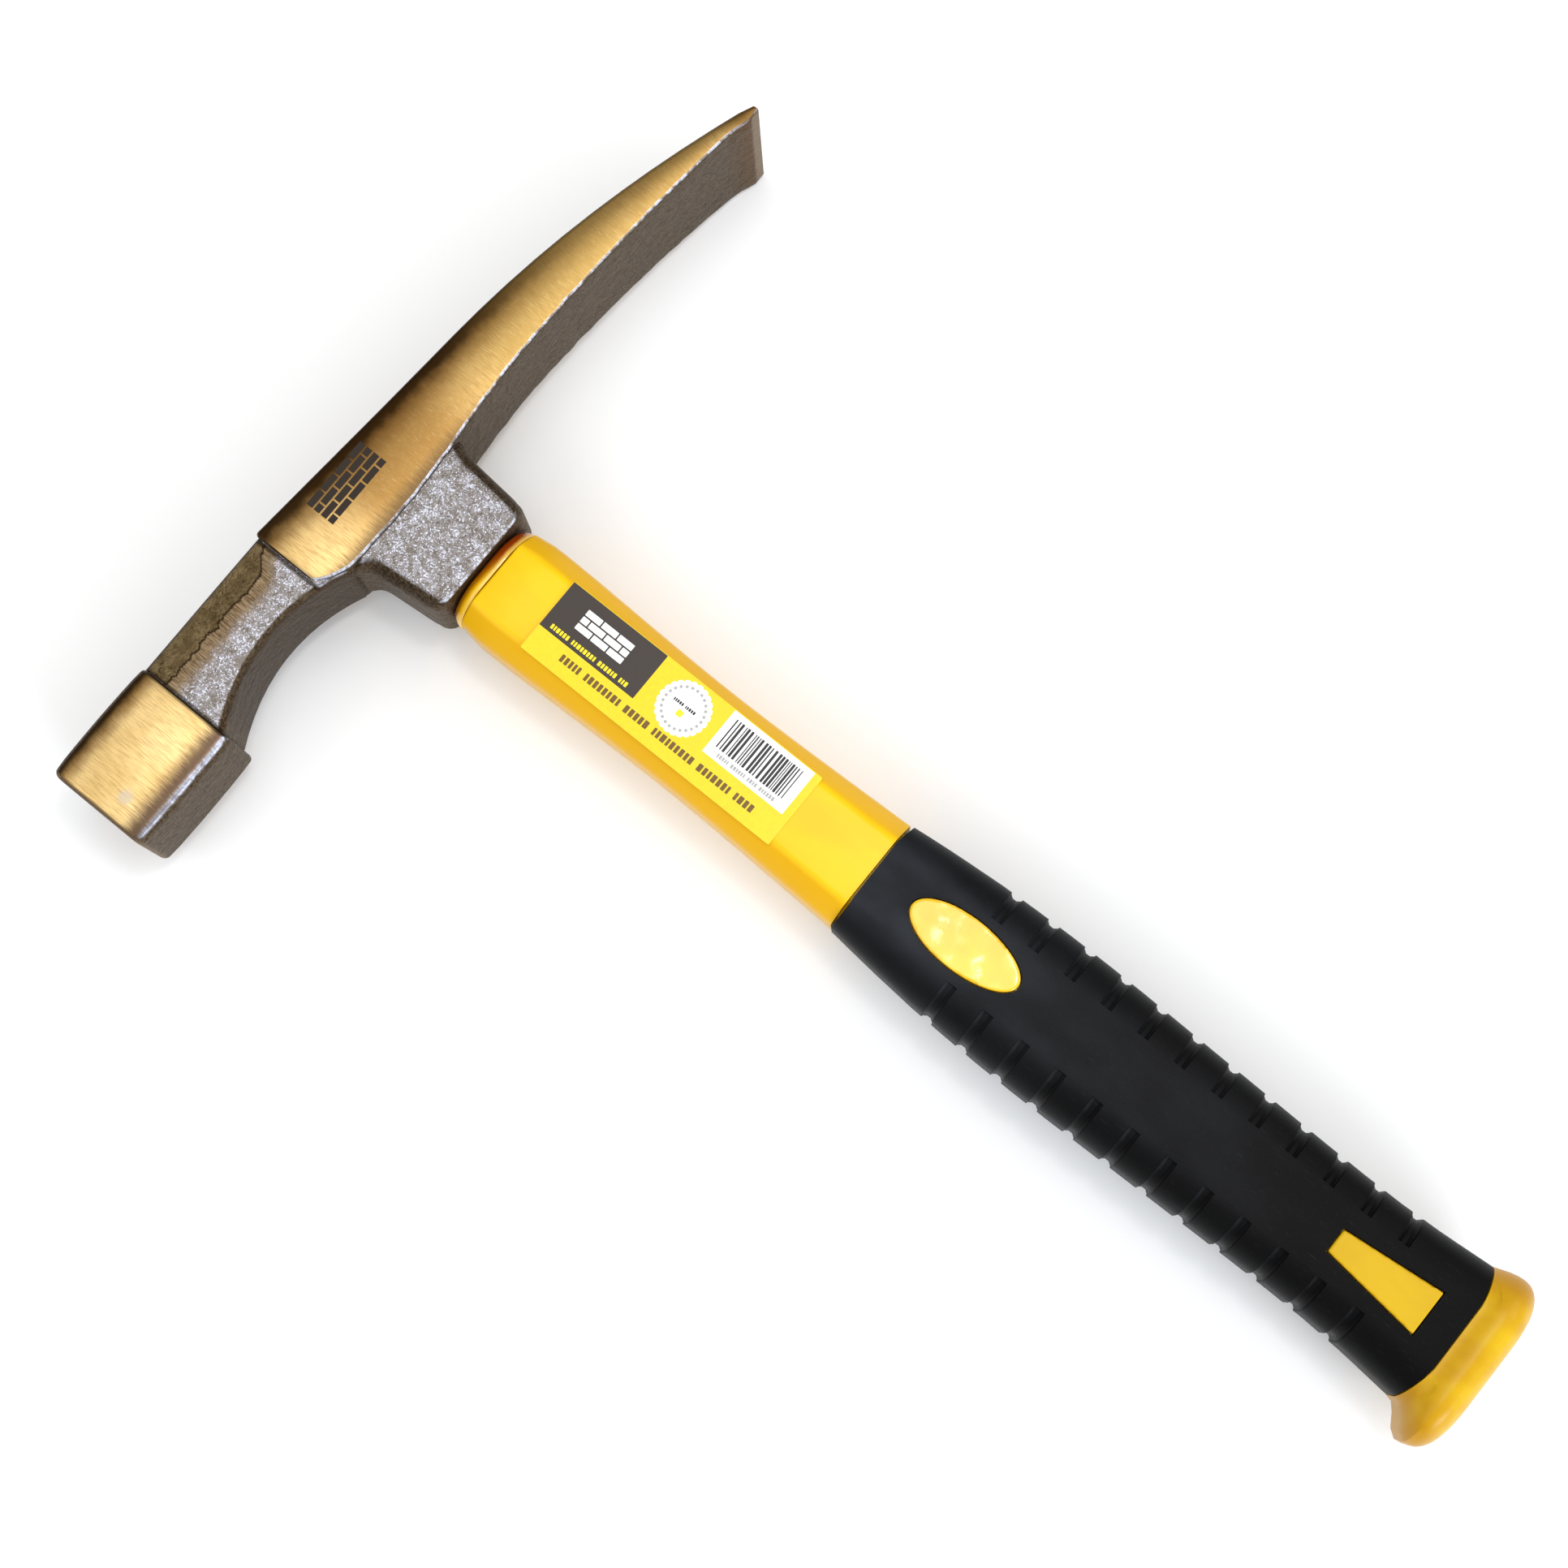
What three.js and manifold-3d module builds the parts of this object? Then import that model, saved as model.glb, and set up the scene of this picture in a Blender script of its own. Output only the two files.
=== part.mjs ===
// A bricklayer's hammer: a forged head with a square poll and a chisel blade, potted with resin
// onto a glass-fibre core that carries a moulded jacket, a soft grip and a butt cap.
//
// Millimetres. x runs down the handle from the crown of the poll, y runs along the head from
// the poll to the blade, z runs across the head, and the handle's axis is y = z = 0.
import * as THREE from "three";
import { mergeVertices } from "three/addons/utils/BufferGeometryUtils.js";
import Module from "manifold-3d";

const wasm = await Module();
wasm.setup();

// ---------------------------------------------------------------- driving dimensions
const bond = 0.25; // the glue line or moulding line left between two pieces
const reveal = 0.3; // the open joint left between two visible faces that meet

// Handle. A depth is measured in y and a width in z. A cover is what lies over the core's surface.
const core = { depth: 18, width: 11.6, pottedOver: 4.2, endGap: 2 };
const potting = 1.0; // the resin between the core and the eye
const resinDip = 1.4; // how far the resin lies below the crown at the eye
const seal = { length: 2.6, lip: 1.4, round: 0.8 }; // the amber bead under the socket's rim
const jacket = { length: 102.8, headCover: 3.8, waistCover: 2.8, gripCover: 4.1, sideCover: 4.2 };
const jacketEdge = { nose: 2.5, chamfer: 4, sideChamfer: 4.6, bulge: 0.35 };
const grip = { length: 144.6, wall: 2.2, frontCover: 4.4, palmCover: 7, backCover: 5.8, endFlare: 1.5 };
const gripSide = { frontCover: 4.6, palmCover: 6.2, backCover: 5.9, endCover: 6.2 };
const gripEdge = { round: 7.6, sideRound: 6.4, bulge: 0.8 };
const notch = { count: 12, first: 26.7, last: 16.2, width: 2.9, depth: 1, inboard: 7.2, stagger: 1 };
const oval = { start: 10.1, length: 27.5, depth: 11.8, proud: 0.7, widestAt: 0.48 };
const wedge = { endGap: 5.1, length: 23, frontDepth: 5.9, backDepth: 10.8, proud: 0.1 };
// The cap's lips are measured outwards from the end of the grip.
const butt = { length: 12.1, bladeLip: 1.8, pollLip: 5.9, sideLip: 1.5, pocket: 6.5, lipAt: 0.54, bow: 2.2 };
const buttEdge = { bladeFlare: 1.1, pollFlare: 2.8, sideFlare: 1.6, corner: 9.5, dome: 8.5 };
const label = { start: 14.2, length: 65.8, depth: 17.6, thick: 0.25, lift: 0.1 };

// Head. A reach is measured from the handle's axis, along the head. A wall lies round the eye.
const socket = { length: 19.8, rimWall: 3.8, rootWall: 4.9, sideWall: 4.2, corner: 3, fillet: 4.5 };
const groundStep = 0.7; // how far the ground flanks of poll and blade stand proud of the neck
const poll = { reach: 89.3, length: 28.4, depth: 24.3, edge: 2.4, faceEdge: 1.5, heelEdge: 0.9, barrel: 0.3 };
const neck = { crown: 0.4, edge: 1.7, waist: 16 };
const cheek = { start: -25.2, crown: -0.1, slope: 0.078, belly: 20.6, cornerRise: 5.3, edge: 1.8 };
const blade = { reach: 110, droopStart: 33, droop: 23.4, flareStart: 12, tipWidth: 36, tipThick: 3.3 };
const bladeEnd = { parallel: 5.4, rise: 1.7, edge: 0.5, noseLength: 3, noseThick: 0.9, noseSag: 0.9 };

// ---------------------------------------------------------------- sizes that follow
const rim = cheek.belly + socket.length; // x of the socket's lower end
const jacketStart = rim + reveal + seal.length + reveal;
const gripStart = rim + jacket.length + reveal;
const gripEnd = gripStart + grip.length;
const buttStart = gripEnd + reveal;
const tail = buttStart + butt.pocket - bond; // x where the jacket ends, inside the butt cap
const eyeGrowth = bond + potting + bond; // from the core's surface to the eye's wall
const side = core.width / 2 + eyeGrowth + socket.sideWall; // z of the socket's flat flank
const groundSide = side + groundStep; // z of the ground flanks
const rimHalf = core.depth / 2 + eyeGrowth + socket.rimWall;
const rootHalf = core.depth / 2 + eyeGrowth + socket.rootWall;
const gripMouth = core.depth / 2 + grip.backCover + grip.endFlare; // half depth where grip meets cap
const gripMouthSide = core.width / 2 + gripSide.endCover;

// ---------------------------------------------------------------- shaping helpers
const CORNER = 5; // points on each rounded corner of a section
const SIDES = 4 * CORNER;

// Point j of a section with half sizes a and b, whose corners are cut back by ca and cb. bulge
// is 1 for a round corner and 0 for a straight chamfer.
function sectionPoint(j, { a, b, ca, cb, bulge = 1 }) {
  const quarter = Math.floor(j / CORNER) % 4;
  const t = (j % CORNER) / (CORNER - 1);
  const turn = (quarter + t) * (Math.PI / 2);
  const middle = (quarter + 0.5) * (Math.PI / 2);
  const signA = Math.sign(Math.sin(middle));
  const signB = Math.sign(Math.cos(middle));
  const flatA = quarter % 2 ? 1 - t : t;
  const roundA = THREE.MathUtils.lerp(flatA, Math.abs(Math.sin(turn)), bulge);
  const roundB = THREE.MathUtils.lerp(1 - flatA, Math.abs(Math.cos(turn)), bulge);
  return [signA * (a - ca + ca * roundA), signB * (b - cb + cb * roundB)];
}

// A closed bar along y, reshaped from a cylinder. Each ring gives its place, its middle in x,
// and its section; a lies in x and b in z. bow curves a ring's plane, most in its middle.
function bar(rings) {
  const geometry = new THREE.CylinderGeometry(1, 1, 1, SIDES, rings.length - 1);
  const place = geometry.attributes.position;
  for (let i = 0; i < place.count; i++) {
    const ring = rings[Math.round((place.getY(i) + 0.5) * (rings.length - 1))];
    const turn = Math.atan2(place.getX(i), place.getZ(i)) / (2 * Math.PI);
    const j = (Math.round(turn * SIDES) + SIDES) % SIDES;
    const onWall = Math.hypot(place.getX(i), place.getZ(i)) > 0.5;
    const [a, b] = onWall ? sectionPoint(j, ring) : [0, 0];
    const bow = (ring.bow ?? 0) * (1 - (a / ring.a) ** 2);
    place.setXYZ(i, (ring.mid ?? 0) + a, ring.at + bow, b);
  }
  return geometry;
}

// The same bar laid along x: its rings' a then lies in y.
function barAlongX(rings) {
  const flipped = rings.map((ring) => ({ ...ring, mid: -(ring.mid ?? 0) }));
  return bar(flipped).rotateZ(-Math.PI / 2);
}

function solid(geometry) {
  const bare = geometry.clone();
  bare.deleteAttribute("normal");
  bare.deleteAttribute("uv");
  const merged = mergeVertices(bare, 1e-4);
  return new wasm.Manifold(
    new wasm.Mesh({
      numProp: 3,
      vertProperties: merged.attributes.position.array,
      triVerts: new Uint32Array(merged.index.array),
    }),
  );
}

function geometryOf(body) {
  const mesh = body.getMesh();
  const geometry = new THREE.BufferGeometry();
  geometry.setAttribute("position", new THREE.BufferAttribute(mesh.vertProperties, 3));
  geometry.setIndex(new THREE.BufferAttribute(mesh.triVerts, 1));
  geometry.computeVertexNormals();
  return geometry;
}

function spread(from, to, count) {
  return Array.from({ length: count }, (_, i) => THREE.MathUtils.lerp(from, to, i / (count - 1)));
}

// The first coordinate of a line at a given second coordinate, where the second only grows.
function across(path, along) {
  let low = 0;
  let high = 1;
  for (let i = 0; i < 40; i++) {
    const middle = (low + high) / 2;
    if (path.getPoint(middle).y < along) low = middle;
    else high = middle;
  }
  return path.getPoint(low).x;
}

// Insets and offsets of a quarter-round edge of radius r, from the end face inwards.
function roundedEnd(r, steps = 3) {
  return spread(0, Math.PI / 2, steps + 1).map((turn) => ({
    inset: r * (1 - Math.sin(turn)),
    back: r * (1 - Math.cos(turn)),
  }));
}

// An outline in x and y, extruded through z = low to high.
function slab(shape, low, high, bevel = 0, curveSegments = 12) {
  const geometry = new THREE.ExtrudeGeometry(shape, {
    depth: high - low - 2 * bevel,
    bevelEnabled: bevel > 0,
    bevelThickness: bevel,
    bevelSize: bevel,
    bevelOffset: -bevel,
    bevelSegments: 3,
    curveSegments,
  });
  return geometry.translate(0, 0, low + bevel);
}

// ---------------------------------------------------------------- head
const crownAt = (y) => cheek.crown + cheek.slope * (y - cheek.start);

// Side view of the ground face's two long edges, from the neck end to the blade's end.
const noseStart = blade.reach - bladeEnd.noseLength;
const parallelStart = noseStart - bladeEnd.parallel;
const crownLine = new THREE.Path().moveTo(cheek.crown, cheek.start);
crownLine.lineTo(crownAt(blade.droopStart), blade.droopStart);
const droopMiddle = (blade.droopStart + noseStart) / 2;
const tipTop = blade.droop - blade.tipThick / 2;
crownLine.quadraticCurveTo(crownAt(droopMiddle), droopMiddle, tipTop, noseStart);

// Each curve of the lower edge has a pull point and an end: the run from the strip's neck end,
// and the rise above the belly's depth.
const bellyCurves = [
  { pull: [1.6, 2.2], end: [7.6, 0.4] },
  { pull: [27, -1.2], end: [47, 1.4] },
  { pull: [60, 2.7], end: [76, 1.9] },
];
const bellyPoint = ([run, rise]) => [cheek.belly - rise, cheek.start + run];
const bellyLine = new THREE.Path().moveTo(cheek.belly - cheek.cornerRise, cheek.start);
for (const { pull, end } of bellyCurves) {
  bellyLine.quadraticCurveTo(...bellyPoint(pull), ...bellyPoint(end));
}
const tipBottom = blade.droop + blade.tipThick / 2;
const lastPullY = (bellyPoint(bellyCurves.at(-1).end)[1] + parallelStart) / 2;
bellyLine.quadraticCurveTo(cheek.belly - 1, lastPullY, tipBottom - bladeEnd.rise, parallelStart);
bellyLine.lineTo(tipBottom, noseStart);

// Top view: the blade keeps the cheek's width and then flares to its cutting edge.
const flarePull = THREE.MathUtils.lerp(blade.flareStart, blade.reach, 0.59);
const flareLine = new THREE.Path().moveTo(groundSide, cheek.start);
flareLine.lineTo(groundSide, blade.flareStart);
flareLine.quadraticCurveTo(groundSide + 0.8, flarePull, blade.tipWidth / 2, blade.reach);

function groundRing(y, inset = 0) {
  const top = across(crownLine, y) + inset;
  const bottom = across(bellyLine, y) - inset;
  const taper = THREE.MathUtils.smoothstep(y, blade.flareStart, noseStart);
  const edge = THREE.MathUtils.lerp(cheek.edge, bladeEnd.edge, Math.sqrt(taper));
  const half = across(flareLine, y) - inset;
  return { at: y, mid: (top + bottom) / 2, a: (bottom - top) / 2, b: half, ca: edge, cb: edge };
}

// The strip that is ground bright on both flanks, from the cheek to the blade's cutting edge.
function groundStrip() {
  const shoulder = roundedEnd(0.6, 2).map(({ inset, back }) => groundRing(cheek.start + back, inset));
  const round = spread(cheek.start + 1.6, cheek.start + 9, 5).map((y) => groundRing(y));
  const body = spread(cheek.start + 14, parallelStart, 16).map((y) => groundRing(y));
  const last = groundRing(noseStart);
  const tip = { ...last, at: blade.reach, mid: last.mid + bladeEnd.noseSag, b: blade.tipWidth / 2 };
  Object.assign(tip, { a: bladeEnd.noseThick / 2, ca: 0.2, cb: 0.2 });
  return solid(bar([...shoulder, ...round, ...body, last, tip]));
}

function pollBlock() {
  const ring = (y, inset, swell) => ({
    at: y,
    mid: poll.depth / 2,
    a: poll.depth / 2 - inset + swell,
    b: groundSide - inset + swell,
    ca: poll.edge,
    cb: poll.edge,
  });
  const face = roundedEnd(poll.faceEdge).map(({ inset, back }) => ring(back - poll.reach, inset, 0));
  const middle = ring(poll.length / 2 - poll.reach, 0, poll.barrel);
  const heel = roundedEnd(poll.heelEdge, 2)
    .reverse()
    .map(({ inset, back }) => ring(poll.length - back - poll.reach, inset, 0));
  return solid(bar([...face, middle, ...heel]));
}

// Neck, arch and socket share one flank, so they are one outline with rounded edges. Its ends
// are buried in the poll and in the ground strip.
function neckAndSocket() {
  const pollHeel = poll.length - poll.reach;
  const inPoll = pollHeel - 6;
  const archEnd = pollHeel - 0.6;
  const archStart = -rootHalf - socket.fillet * 0.75;
  const archBottom = poll.depth - 2;
  const archPull = 2 * neck.waist - (cheek.belly + archBottom) / 2;
  const buriedTop = crownAt(0) + 4;
  const shoulder = cheek.belly + 4;
  const outline = new THREE.Shape();
  outline.moveTo(neck.crown, inPoll);
  outline.lineTo(neck.crown, cheek.start + 2);
  outline.lineTo(buriedTop, cheek.start + 6);
  outline.lineTo(buriedTop, rootHalf - 2);
  outline.lineTo(cheek.belly - 3, rootHalf + 3);
  outline.quadraticCurveTo(cheek.belly + 0.6, rootHalf + 0.4, shoulder, rootHalf);
  outline.lineTo(rim - socket.corner, rimHalf);
  outline.quadraticCurveTo(rim, rimHalf, rim, rimHalf - socket.corner);
  outline.lineTo(rim, socket.corner - rimHalf);
  outline.quadraticCurveTo(rim, -rimHalf, rim - socket.corner, -rimHalf);
  outline.lineTo(cheek.belly + socket.fillet, -rootHalf);
  outline.quadraticCurveTo(cheek.belly + 1, -rootHalf - 0.3, cheek.belly, archStart);
  outline.quadraticCurveTo(archPull, (archStart + archEnd) / 2, archBottom, archEnd);
  outline.lineTo(archBottom, inPoll);
  outline.closePath();
  return solid(slab(outline, -side, side, neck.edge));
}

// A section of the core, or of what is moulded round it when growth is above 0.
function coreRing(x, growth = 0) {
  const a = core.depth / 2 + growth;
  const b = core.width / 2 + growth;
  return { at: x, a, b, ca: b, cb: b };
}

// An oval rod with the core's section, run well past both ends of what it cuts.
const overrun = 5;
const coreBore = (from, to, growth) =>
  solid(barAlongX([coreRing(from - overrun, growth), coreRing(to + overrun, growth)]));

function headBody() {
  const eye = coreBore(0, rim, eyeGrowth);
  return neckAndSocket().add(pollBlock()).add(groundStrip()).subtract(eye);
}

// ---------------------------------------------------------------- resin, seal and core
const resinTop = crownAt(0) + resinDip;
const coreTop = resinTop + core.pottedOver;

function eyeResin() {
  const growth = bond + potting;
  const cast = solid(barAlongX([coreRing(resinTop, growth), coreRing(rim, growth)]));
  const hollow = solid(barAlongX([coreRing(coreTop - bond, bond), coreRing(rim + overrun, bond)]));
  return cast.subtract(hollow);
}

function rimSeal() {
  const from = rim + reveal;
  const to = from + seal.length;
  const growth = eyeGrowth + seal.lip;
  const bead = [
    coreRing(from, growth - seal.round * 0.6),
    coreRing(from + seal.length * 0.2, growth),
    coreRing(to - seal.length * 0.2, growth - seal.round * 0.25),
    coreRing(to, growth - seal.round),
  ];
  return solid(barAlongX(bead)).subtract(coreBore(from, to, bond));
}

function fibreglassCore() {
  return solid(barAlongX([coreRing(coreTop), coreRing(tail - core.endGap)]));
}

// ---------------------------------------------------------------- jacket and grip
// A point of a profile line: half the core's size plus a cover, at x.
const overDepth = (cover, x) => new THREE.Vector2(core.depth / 2 + cover, x);
const overWidth = (cover, x) => new THREE.Vector2(core.width / 2 + cover, x);

// Half depth of the bare jacket, from the head to the grip.
const bareLength = gripStart - jacketStart;
const shaftLine = new THREE.SplineCurve([
  overDepth(jacket.headCover - 0.1, jacketStart),
  overDepth(jacket.headCover, jacketStart + bareLength * 0.12),
  overDepth(jacket.waistCover, jacketStart + bareLength * 0.55),
  overDepth(jacket.gripCover, gripStart + 1),
]);

// Half depth of the grip's outside, from its front edge to the butt cap.
const gripLine = new THREE.SplineCurve([
  overDepth(grip.frontCover, gripStart - 0.5),
  overDepth((grip.frontCover + grip.palmCover) / 2 + 0.6, gripStart + grip.length * 0.15),
  overDepth(grip.palmCover, gripStart + grip.length * 0.33),
  overDepth((grip.palmCover + grip.backCover) / 2, gripStart + grip.length * 0.55),
  overDepth(grip.backCover, gripStart + grip.length * 0.84),
  overDepth(grip.backCover + grip.endFlare, gripEnd + 0.5),
]);

const gripWidthLine = new THREE.SplineCurve([
  overWidth(gripSide.frontCover, gripStart - 0.5),
  overWidth(gripSide.palmCover, gripStart + grip.length * 0.33),
  overWidth(gripSide.backCover, gripStart + grip.length * 0.75),
  overWidth(gripSide.endCover, gripEnd + 0.5),
]);

// The bare jacket has flat flanks and long straight chamfers.
const flank = core.width / 2 + jacket.sideCover;

function shaftRing(x, inset = 0) {
  const a = across(shaftLine, x) - inset;
  const { chamfer, sideChamfer, bulge } = jacketEdge;
  return { at: x, a, b: flank - inset, ca: chamfer, cb: sideChamfer, bulge };
}

// The grip is rounder. growth moves its surface outwards, or inwards where it is negative.
function gripRing(x, growth = 0) {
  const along = THREE.MathUtils.clamp(x, gripStart, gripEnd);
  const a = across(gripLine, along) + growth;
  const b = across(gripWidthLine, along) + growth;
  const ca = Math.max(gripEdge.round + growth, 2);
  const cb = Math.max(gripEdge.sideRound + growth, 2);
  return { at: x, a, b, ca, cb, bulge: gripEdge.bulge };
}

// What lies under the grip: the jacket, stepped down to leave room for the soft wall.
const underGrip = -grip.wall - bond;
const step = 0.01; // the least run of a square shoulder
const gripStations = spread(gripStart, gripEnd, 14);

function handleJacket() {
  const noseRings = roundedEnd(jacketEdge.nose).map(({ inset, back }) =>
    shaftRing(jacketStart + back, inset * 0.6),
  );
  const shaft = spread(jacketStart + 8, gripStart - reveal, 12).map((x) => shaftRing(x));
  const shoulder = gripRing(gripStart - reveal + step, underGrip);
  const seat = [shoulder, ...gripStations.map((x) => gripRing(x, underGrip))];
  const outside = solid(barAlongX([...noseRings, ...shaft, ...seat, gripRing(tail, underGrip)]));
  return outside.subtract(coreBore(jacketStart, tail, bond));
}

// Outline of the egg-shaped window, blunter towards the butt. gap shrinks it all round.
function ovalOutline(gap = 0) {
  const from = gripStart + oval.start + gap;
  const to = gripStart + oval.start + oval.length - gap;
  const half = oval.depth / 2 - gap;
  const middle = THREE.MathUtils.lerp(from, to, oval.widestAt);
  const frontPull = oval.length * 0.24;
  const backPull = oval.length * 0.29;
  const shape = new THREE.Shape();
  shape.moveTo(from, 0);
  shape.bezierCurveTo(from, half * 0.62, middle - frontPull, half, middle, half);
  shape.bezierCurveTo(middle + backPull, half, to, half * 0.72, to, 0);
  shape.bezierCurveTo(to, -half * 0.72, middle + backPull, -half, middle, -half);
  shape.bezierCurveTo(middle - frontPull, -half, from, -half * 0.62, from, 0);
  return shape;
}

function wedgeOutline(gap = 0) {
  const to = gripEnd - wedge.endGap - gap;
  const from = gripEnd - wedge.endGap - wedge.length + gap;
  const narrow = wedge.frontDepth / 2 - gap;
  const wide = wedge.backDepth / 2 - gap;
  const shape = new THREE.Shape();
  shape.moveTo(from, -narrow);
  shape.lineTo(to, -wide);
  shape.lineTo(to, wide);
  shape.lineTo(from, narrow);
  shape.closePath();
  return shape;
}

// One grip groove: a round-bottomed channel that wraps an edge of the grip from flank to flank.
function groove(x, direction) {
  const steps = spread(-1, 1, 4);
  const bottom = steps.map((s) => gripRing(x + (s * notch.width) / 2, notch.depth * (s * s - 1)));
  bottom[0].at -= 0.5;
  bottom.at(-1).at += 0.5;
  const around = [gripRing(x - notch.width / 2, 2), gripRing(x + notch.width / 2, 2)];
  const reachY = gripMouth * 2;
  const keep = new THREE.BoxGeometry(notch.width * 2, reachY, gripMouthSide * 4);
  keep.translate(x, direction * (notch.inboard + reachY / 2), 0);
  return solid(barAlongX(around)).subtract(solid(barAlongX(bottom))).intersect(solid(keep));
}

function gripSleeve() {
  const outside = gripStations.map((x) => gripRing(x));
  outside.at(-1).bow = butt.bow;
  let sleeve = solid(barAlongX(outside));
  const pastEnds = [gripStart - 1, ...gripStations, gripEnd + butt.bow + 1];
  const hollow = pastEnds.map((x) => gripRing(x, -grip.wall));
  sleeve = sleeve.subtract(solid(barAlongX(hollow)));
  for (const outline of [ovalOutline(), wedgeOutline()]) {
    sleeve = sleeve.subtract(solid(slab(outline, -gripMouthSide * 2, gripMouthSide * 2)));
  }
  for (const x of spread(gripStart + notch.first, gripEnd - notch.last, notch.count)) {
    sleeve = sleeve.subtract(groove(x - notch.stagger, 1)).subtract(groove(x, -1));
  }
  return sleeve;
}

// A panel that fills a window: an outline cut to the jacket's surface below and to the grip's
// own curve, raised by proud, above.
function windowPanel(outline, proud, direction) {
  const cover = solid(barAlongX(gripStations.map((x) => gripRing(x, proud))));
  const seat = solid(barAlongX(gripStations.map((x) => gripRing(x, -grip.wall))));
  const reach = gripMouthSide * 2;
  const low = direction > 0 ? 0 : -reach;
  const plug = solid(slab(outline, low, low + reach));
  return plug.intersect(cover).subtract(seat);
}

// ---------------------------------------------------------------- butt cap and label
// The cap flares from the grip's end to its lip, further on the poll's side, and domes over.
function buttCap() {
  const flared = (from, lip, t, power) => from + lip * Math.sin((Math.PI / 2) * t) ** power;
  const ring = (x, t, inset) => {
    const up = flared(gripMouth, butt.bladeLip, t, buttEdge.bladeFlare) - inset;
    const down = flared(gripMouth, butt.pollLip, t, buttEdge.pollFlare) - inset;
    const b = flared(gripMouthSide, butt.sideLip, t, buttEdge.sideFlare) - inset;
    const ca = buttEdge.corner - inset * 0.6;
    return { at: x, mid: (up - down) / 2, a: (up + down) / 2, b, ca, cb: b * 0.9 };
  };
  const rise = spread(0, 1, 5).map((t) => ring(buttStart + t * butt.lipAt * butt.length, t, 0));
  rise.slice(0, 4).forEach((r, i) => (r.bow = butt.bow * (1 - i / 4)));
  const dome = [0.35, 0.6, 0.8, 0.93, 1].map((t) => {
    const inset = buttEdge.dome * (1 - Math.sqrt(1 - t ** 2.2));
    return ring(buttStart + butt.length * THREE.MathUtils.lerp(butt.lipAt, 1, t), 1, inset);
  });
  const pocket = [gripRing(buttStart - 1, underGrip + bond), gripRing(tail + bond, underGrip + bond)];
  return solid(barAlongX([...rise, ...dome])).subtract(solid(barAlongX(pocket)));
}

function labelSheet() {
  const from = jacketStart + label.start;
  const low = flank + label.lift;
  const sheet = new THREE.BoxGeometry(label.length, label.depth, label.thick);
  return solid(sheet.translate(from + label.length / 2, 0, low + label.thick / 2));
}

// ---------------------------------------------------------------- assembly
const steel = new THREE.MeshStandardMaterial({ color: 0x9c958c, roughness: 0.4, metalness: 1 });
const amber = new THREE.MeshStandardMaterial({ color: 0xb4591a, roughness: 0.12, metalness: 0 });
const resin = new THREE.MeshStandardMaterial({ color: 0x8a5a26, roughness: 0.25, metalness: 0 });
const glassFibre = new THREE.MeshStandardMaterial({ color: 0xd9c58a, roughness: 0.6, metalness: 0 });
const yellow = new THREE.MeshStandardMaterial({ color: 0xf6cf12, roughness: 0.28, metalness: 0 });
const ochre = new THREE.MeshStandardMaterial({ color: 0xe6b012, roughness: 0.35, metalness: 0 });
const rubber = new THREE.MeshStandardMaterial({ color: 0x141416, roughness: 0.55, metalness: 0 });
const paper = new THREE.MeshStandardMaterial({ color: 0xffe81c, roughness: 0.3, metalness: 0 });

const hammer = new THREE.Group();

function addPiece(name, body, material) {
  const mesh = new THREE.Mesh(geometryOf(body), material);
  mesh.name = name;
  hammer.add(mesh);
}

addPiece("head", headBody(), steel);
addPiece("eye_resin", eyeResin(), resin);
addPiece("rim_seal", rimSeal(), amber);
addPiece("fibreglass_core", fibreglassCore(), glassFibre);
addPiece("handle_jacket", handleJacket(), yellow);
addPiece("grip_sleeve", gripSleeve(), rubber);
for (const [hand, direction] of [["right", 1], ["left", -1]]) {
  addPiece(`oval_pad_${hand}`, windowPanel(ovalOutline(bond), oval.proud, direction), yellow);
  addPiece(`wedge_panel_${hand}`, windowPanel(wedgeOutline(bond), wedge.proud, direction), yellow);
}
addPiece("butt_cap", buttCap(), ochre);
addPiece("label", labelSheet(), paper);

// The row's origin: the middle of the hammer's box, on the plane it is laid on.
const box = new THREE.Box3().setFromObject(hammer);
const middle = box.getCenter(new THREE.Vector3());
hammer.position.set(-middle.x, -middle.y, -box.min.z);

const part = new THREE.Group();
part.add(hammer);
export default part;
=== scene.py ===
# %% [markdown]
# # A bricklayer's hammer
#
# This lesson builds the looks of a brick hammer round a measured model of it. The real tool is
# a forged steel head, potted with resin onto a glass-fibre core, with a moulded yellow jacket,
# a soft black grip and a yellow butt cap. The measured model says where everything is, and each
# piece is then modelled again with the detail and the finish of the real one.

import math
import random
from types import SimpleNamespace

import bmesh
import bpy
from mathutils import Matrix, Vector, noise
from mathutils.bvhtree import BVHTree


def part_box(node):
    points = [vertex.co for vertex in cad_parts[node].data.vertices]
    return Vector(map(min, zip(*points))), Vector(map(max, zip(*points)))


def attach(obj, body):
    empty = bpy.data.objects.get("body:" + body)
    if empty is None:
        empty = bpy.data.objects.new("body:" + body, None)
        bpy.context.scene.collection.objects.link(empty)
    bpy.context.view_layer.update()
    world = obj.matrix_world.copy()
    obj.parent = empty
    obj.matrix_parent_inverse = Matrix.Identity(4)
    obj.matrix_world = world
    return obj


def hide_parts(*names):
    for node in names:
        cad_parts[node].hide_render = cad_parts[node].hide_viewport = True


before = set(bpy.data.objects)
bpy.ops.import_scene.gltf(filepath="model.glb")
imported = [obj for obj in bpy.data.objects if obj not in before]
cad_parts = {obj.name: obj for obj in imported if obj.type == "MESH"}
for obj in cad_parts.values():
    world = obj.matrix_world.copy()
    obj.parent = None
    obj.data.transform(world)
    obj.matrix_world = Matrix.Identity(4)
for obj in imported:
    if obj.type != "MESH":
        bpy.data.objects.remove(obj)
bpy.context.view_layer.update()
print("pieces in the measured model:", sorted(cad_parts))

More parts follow.
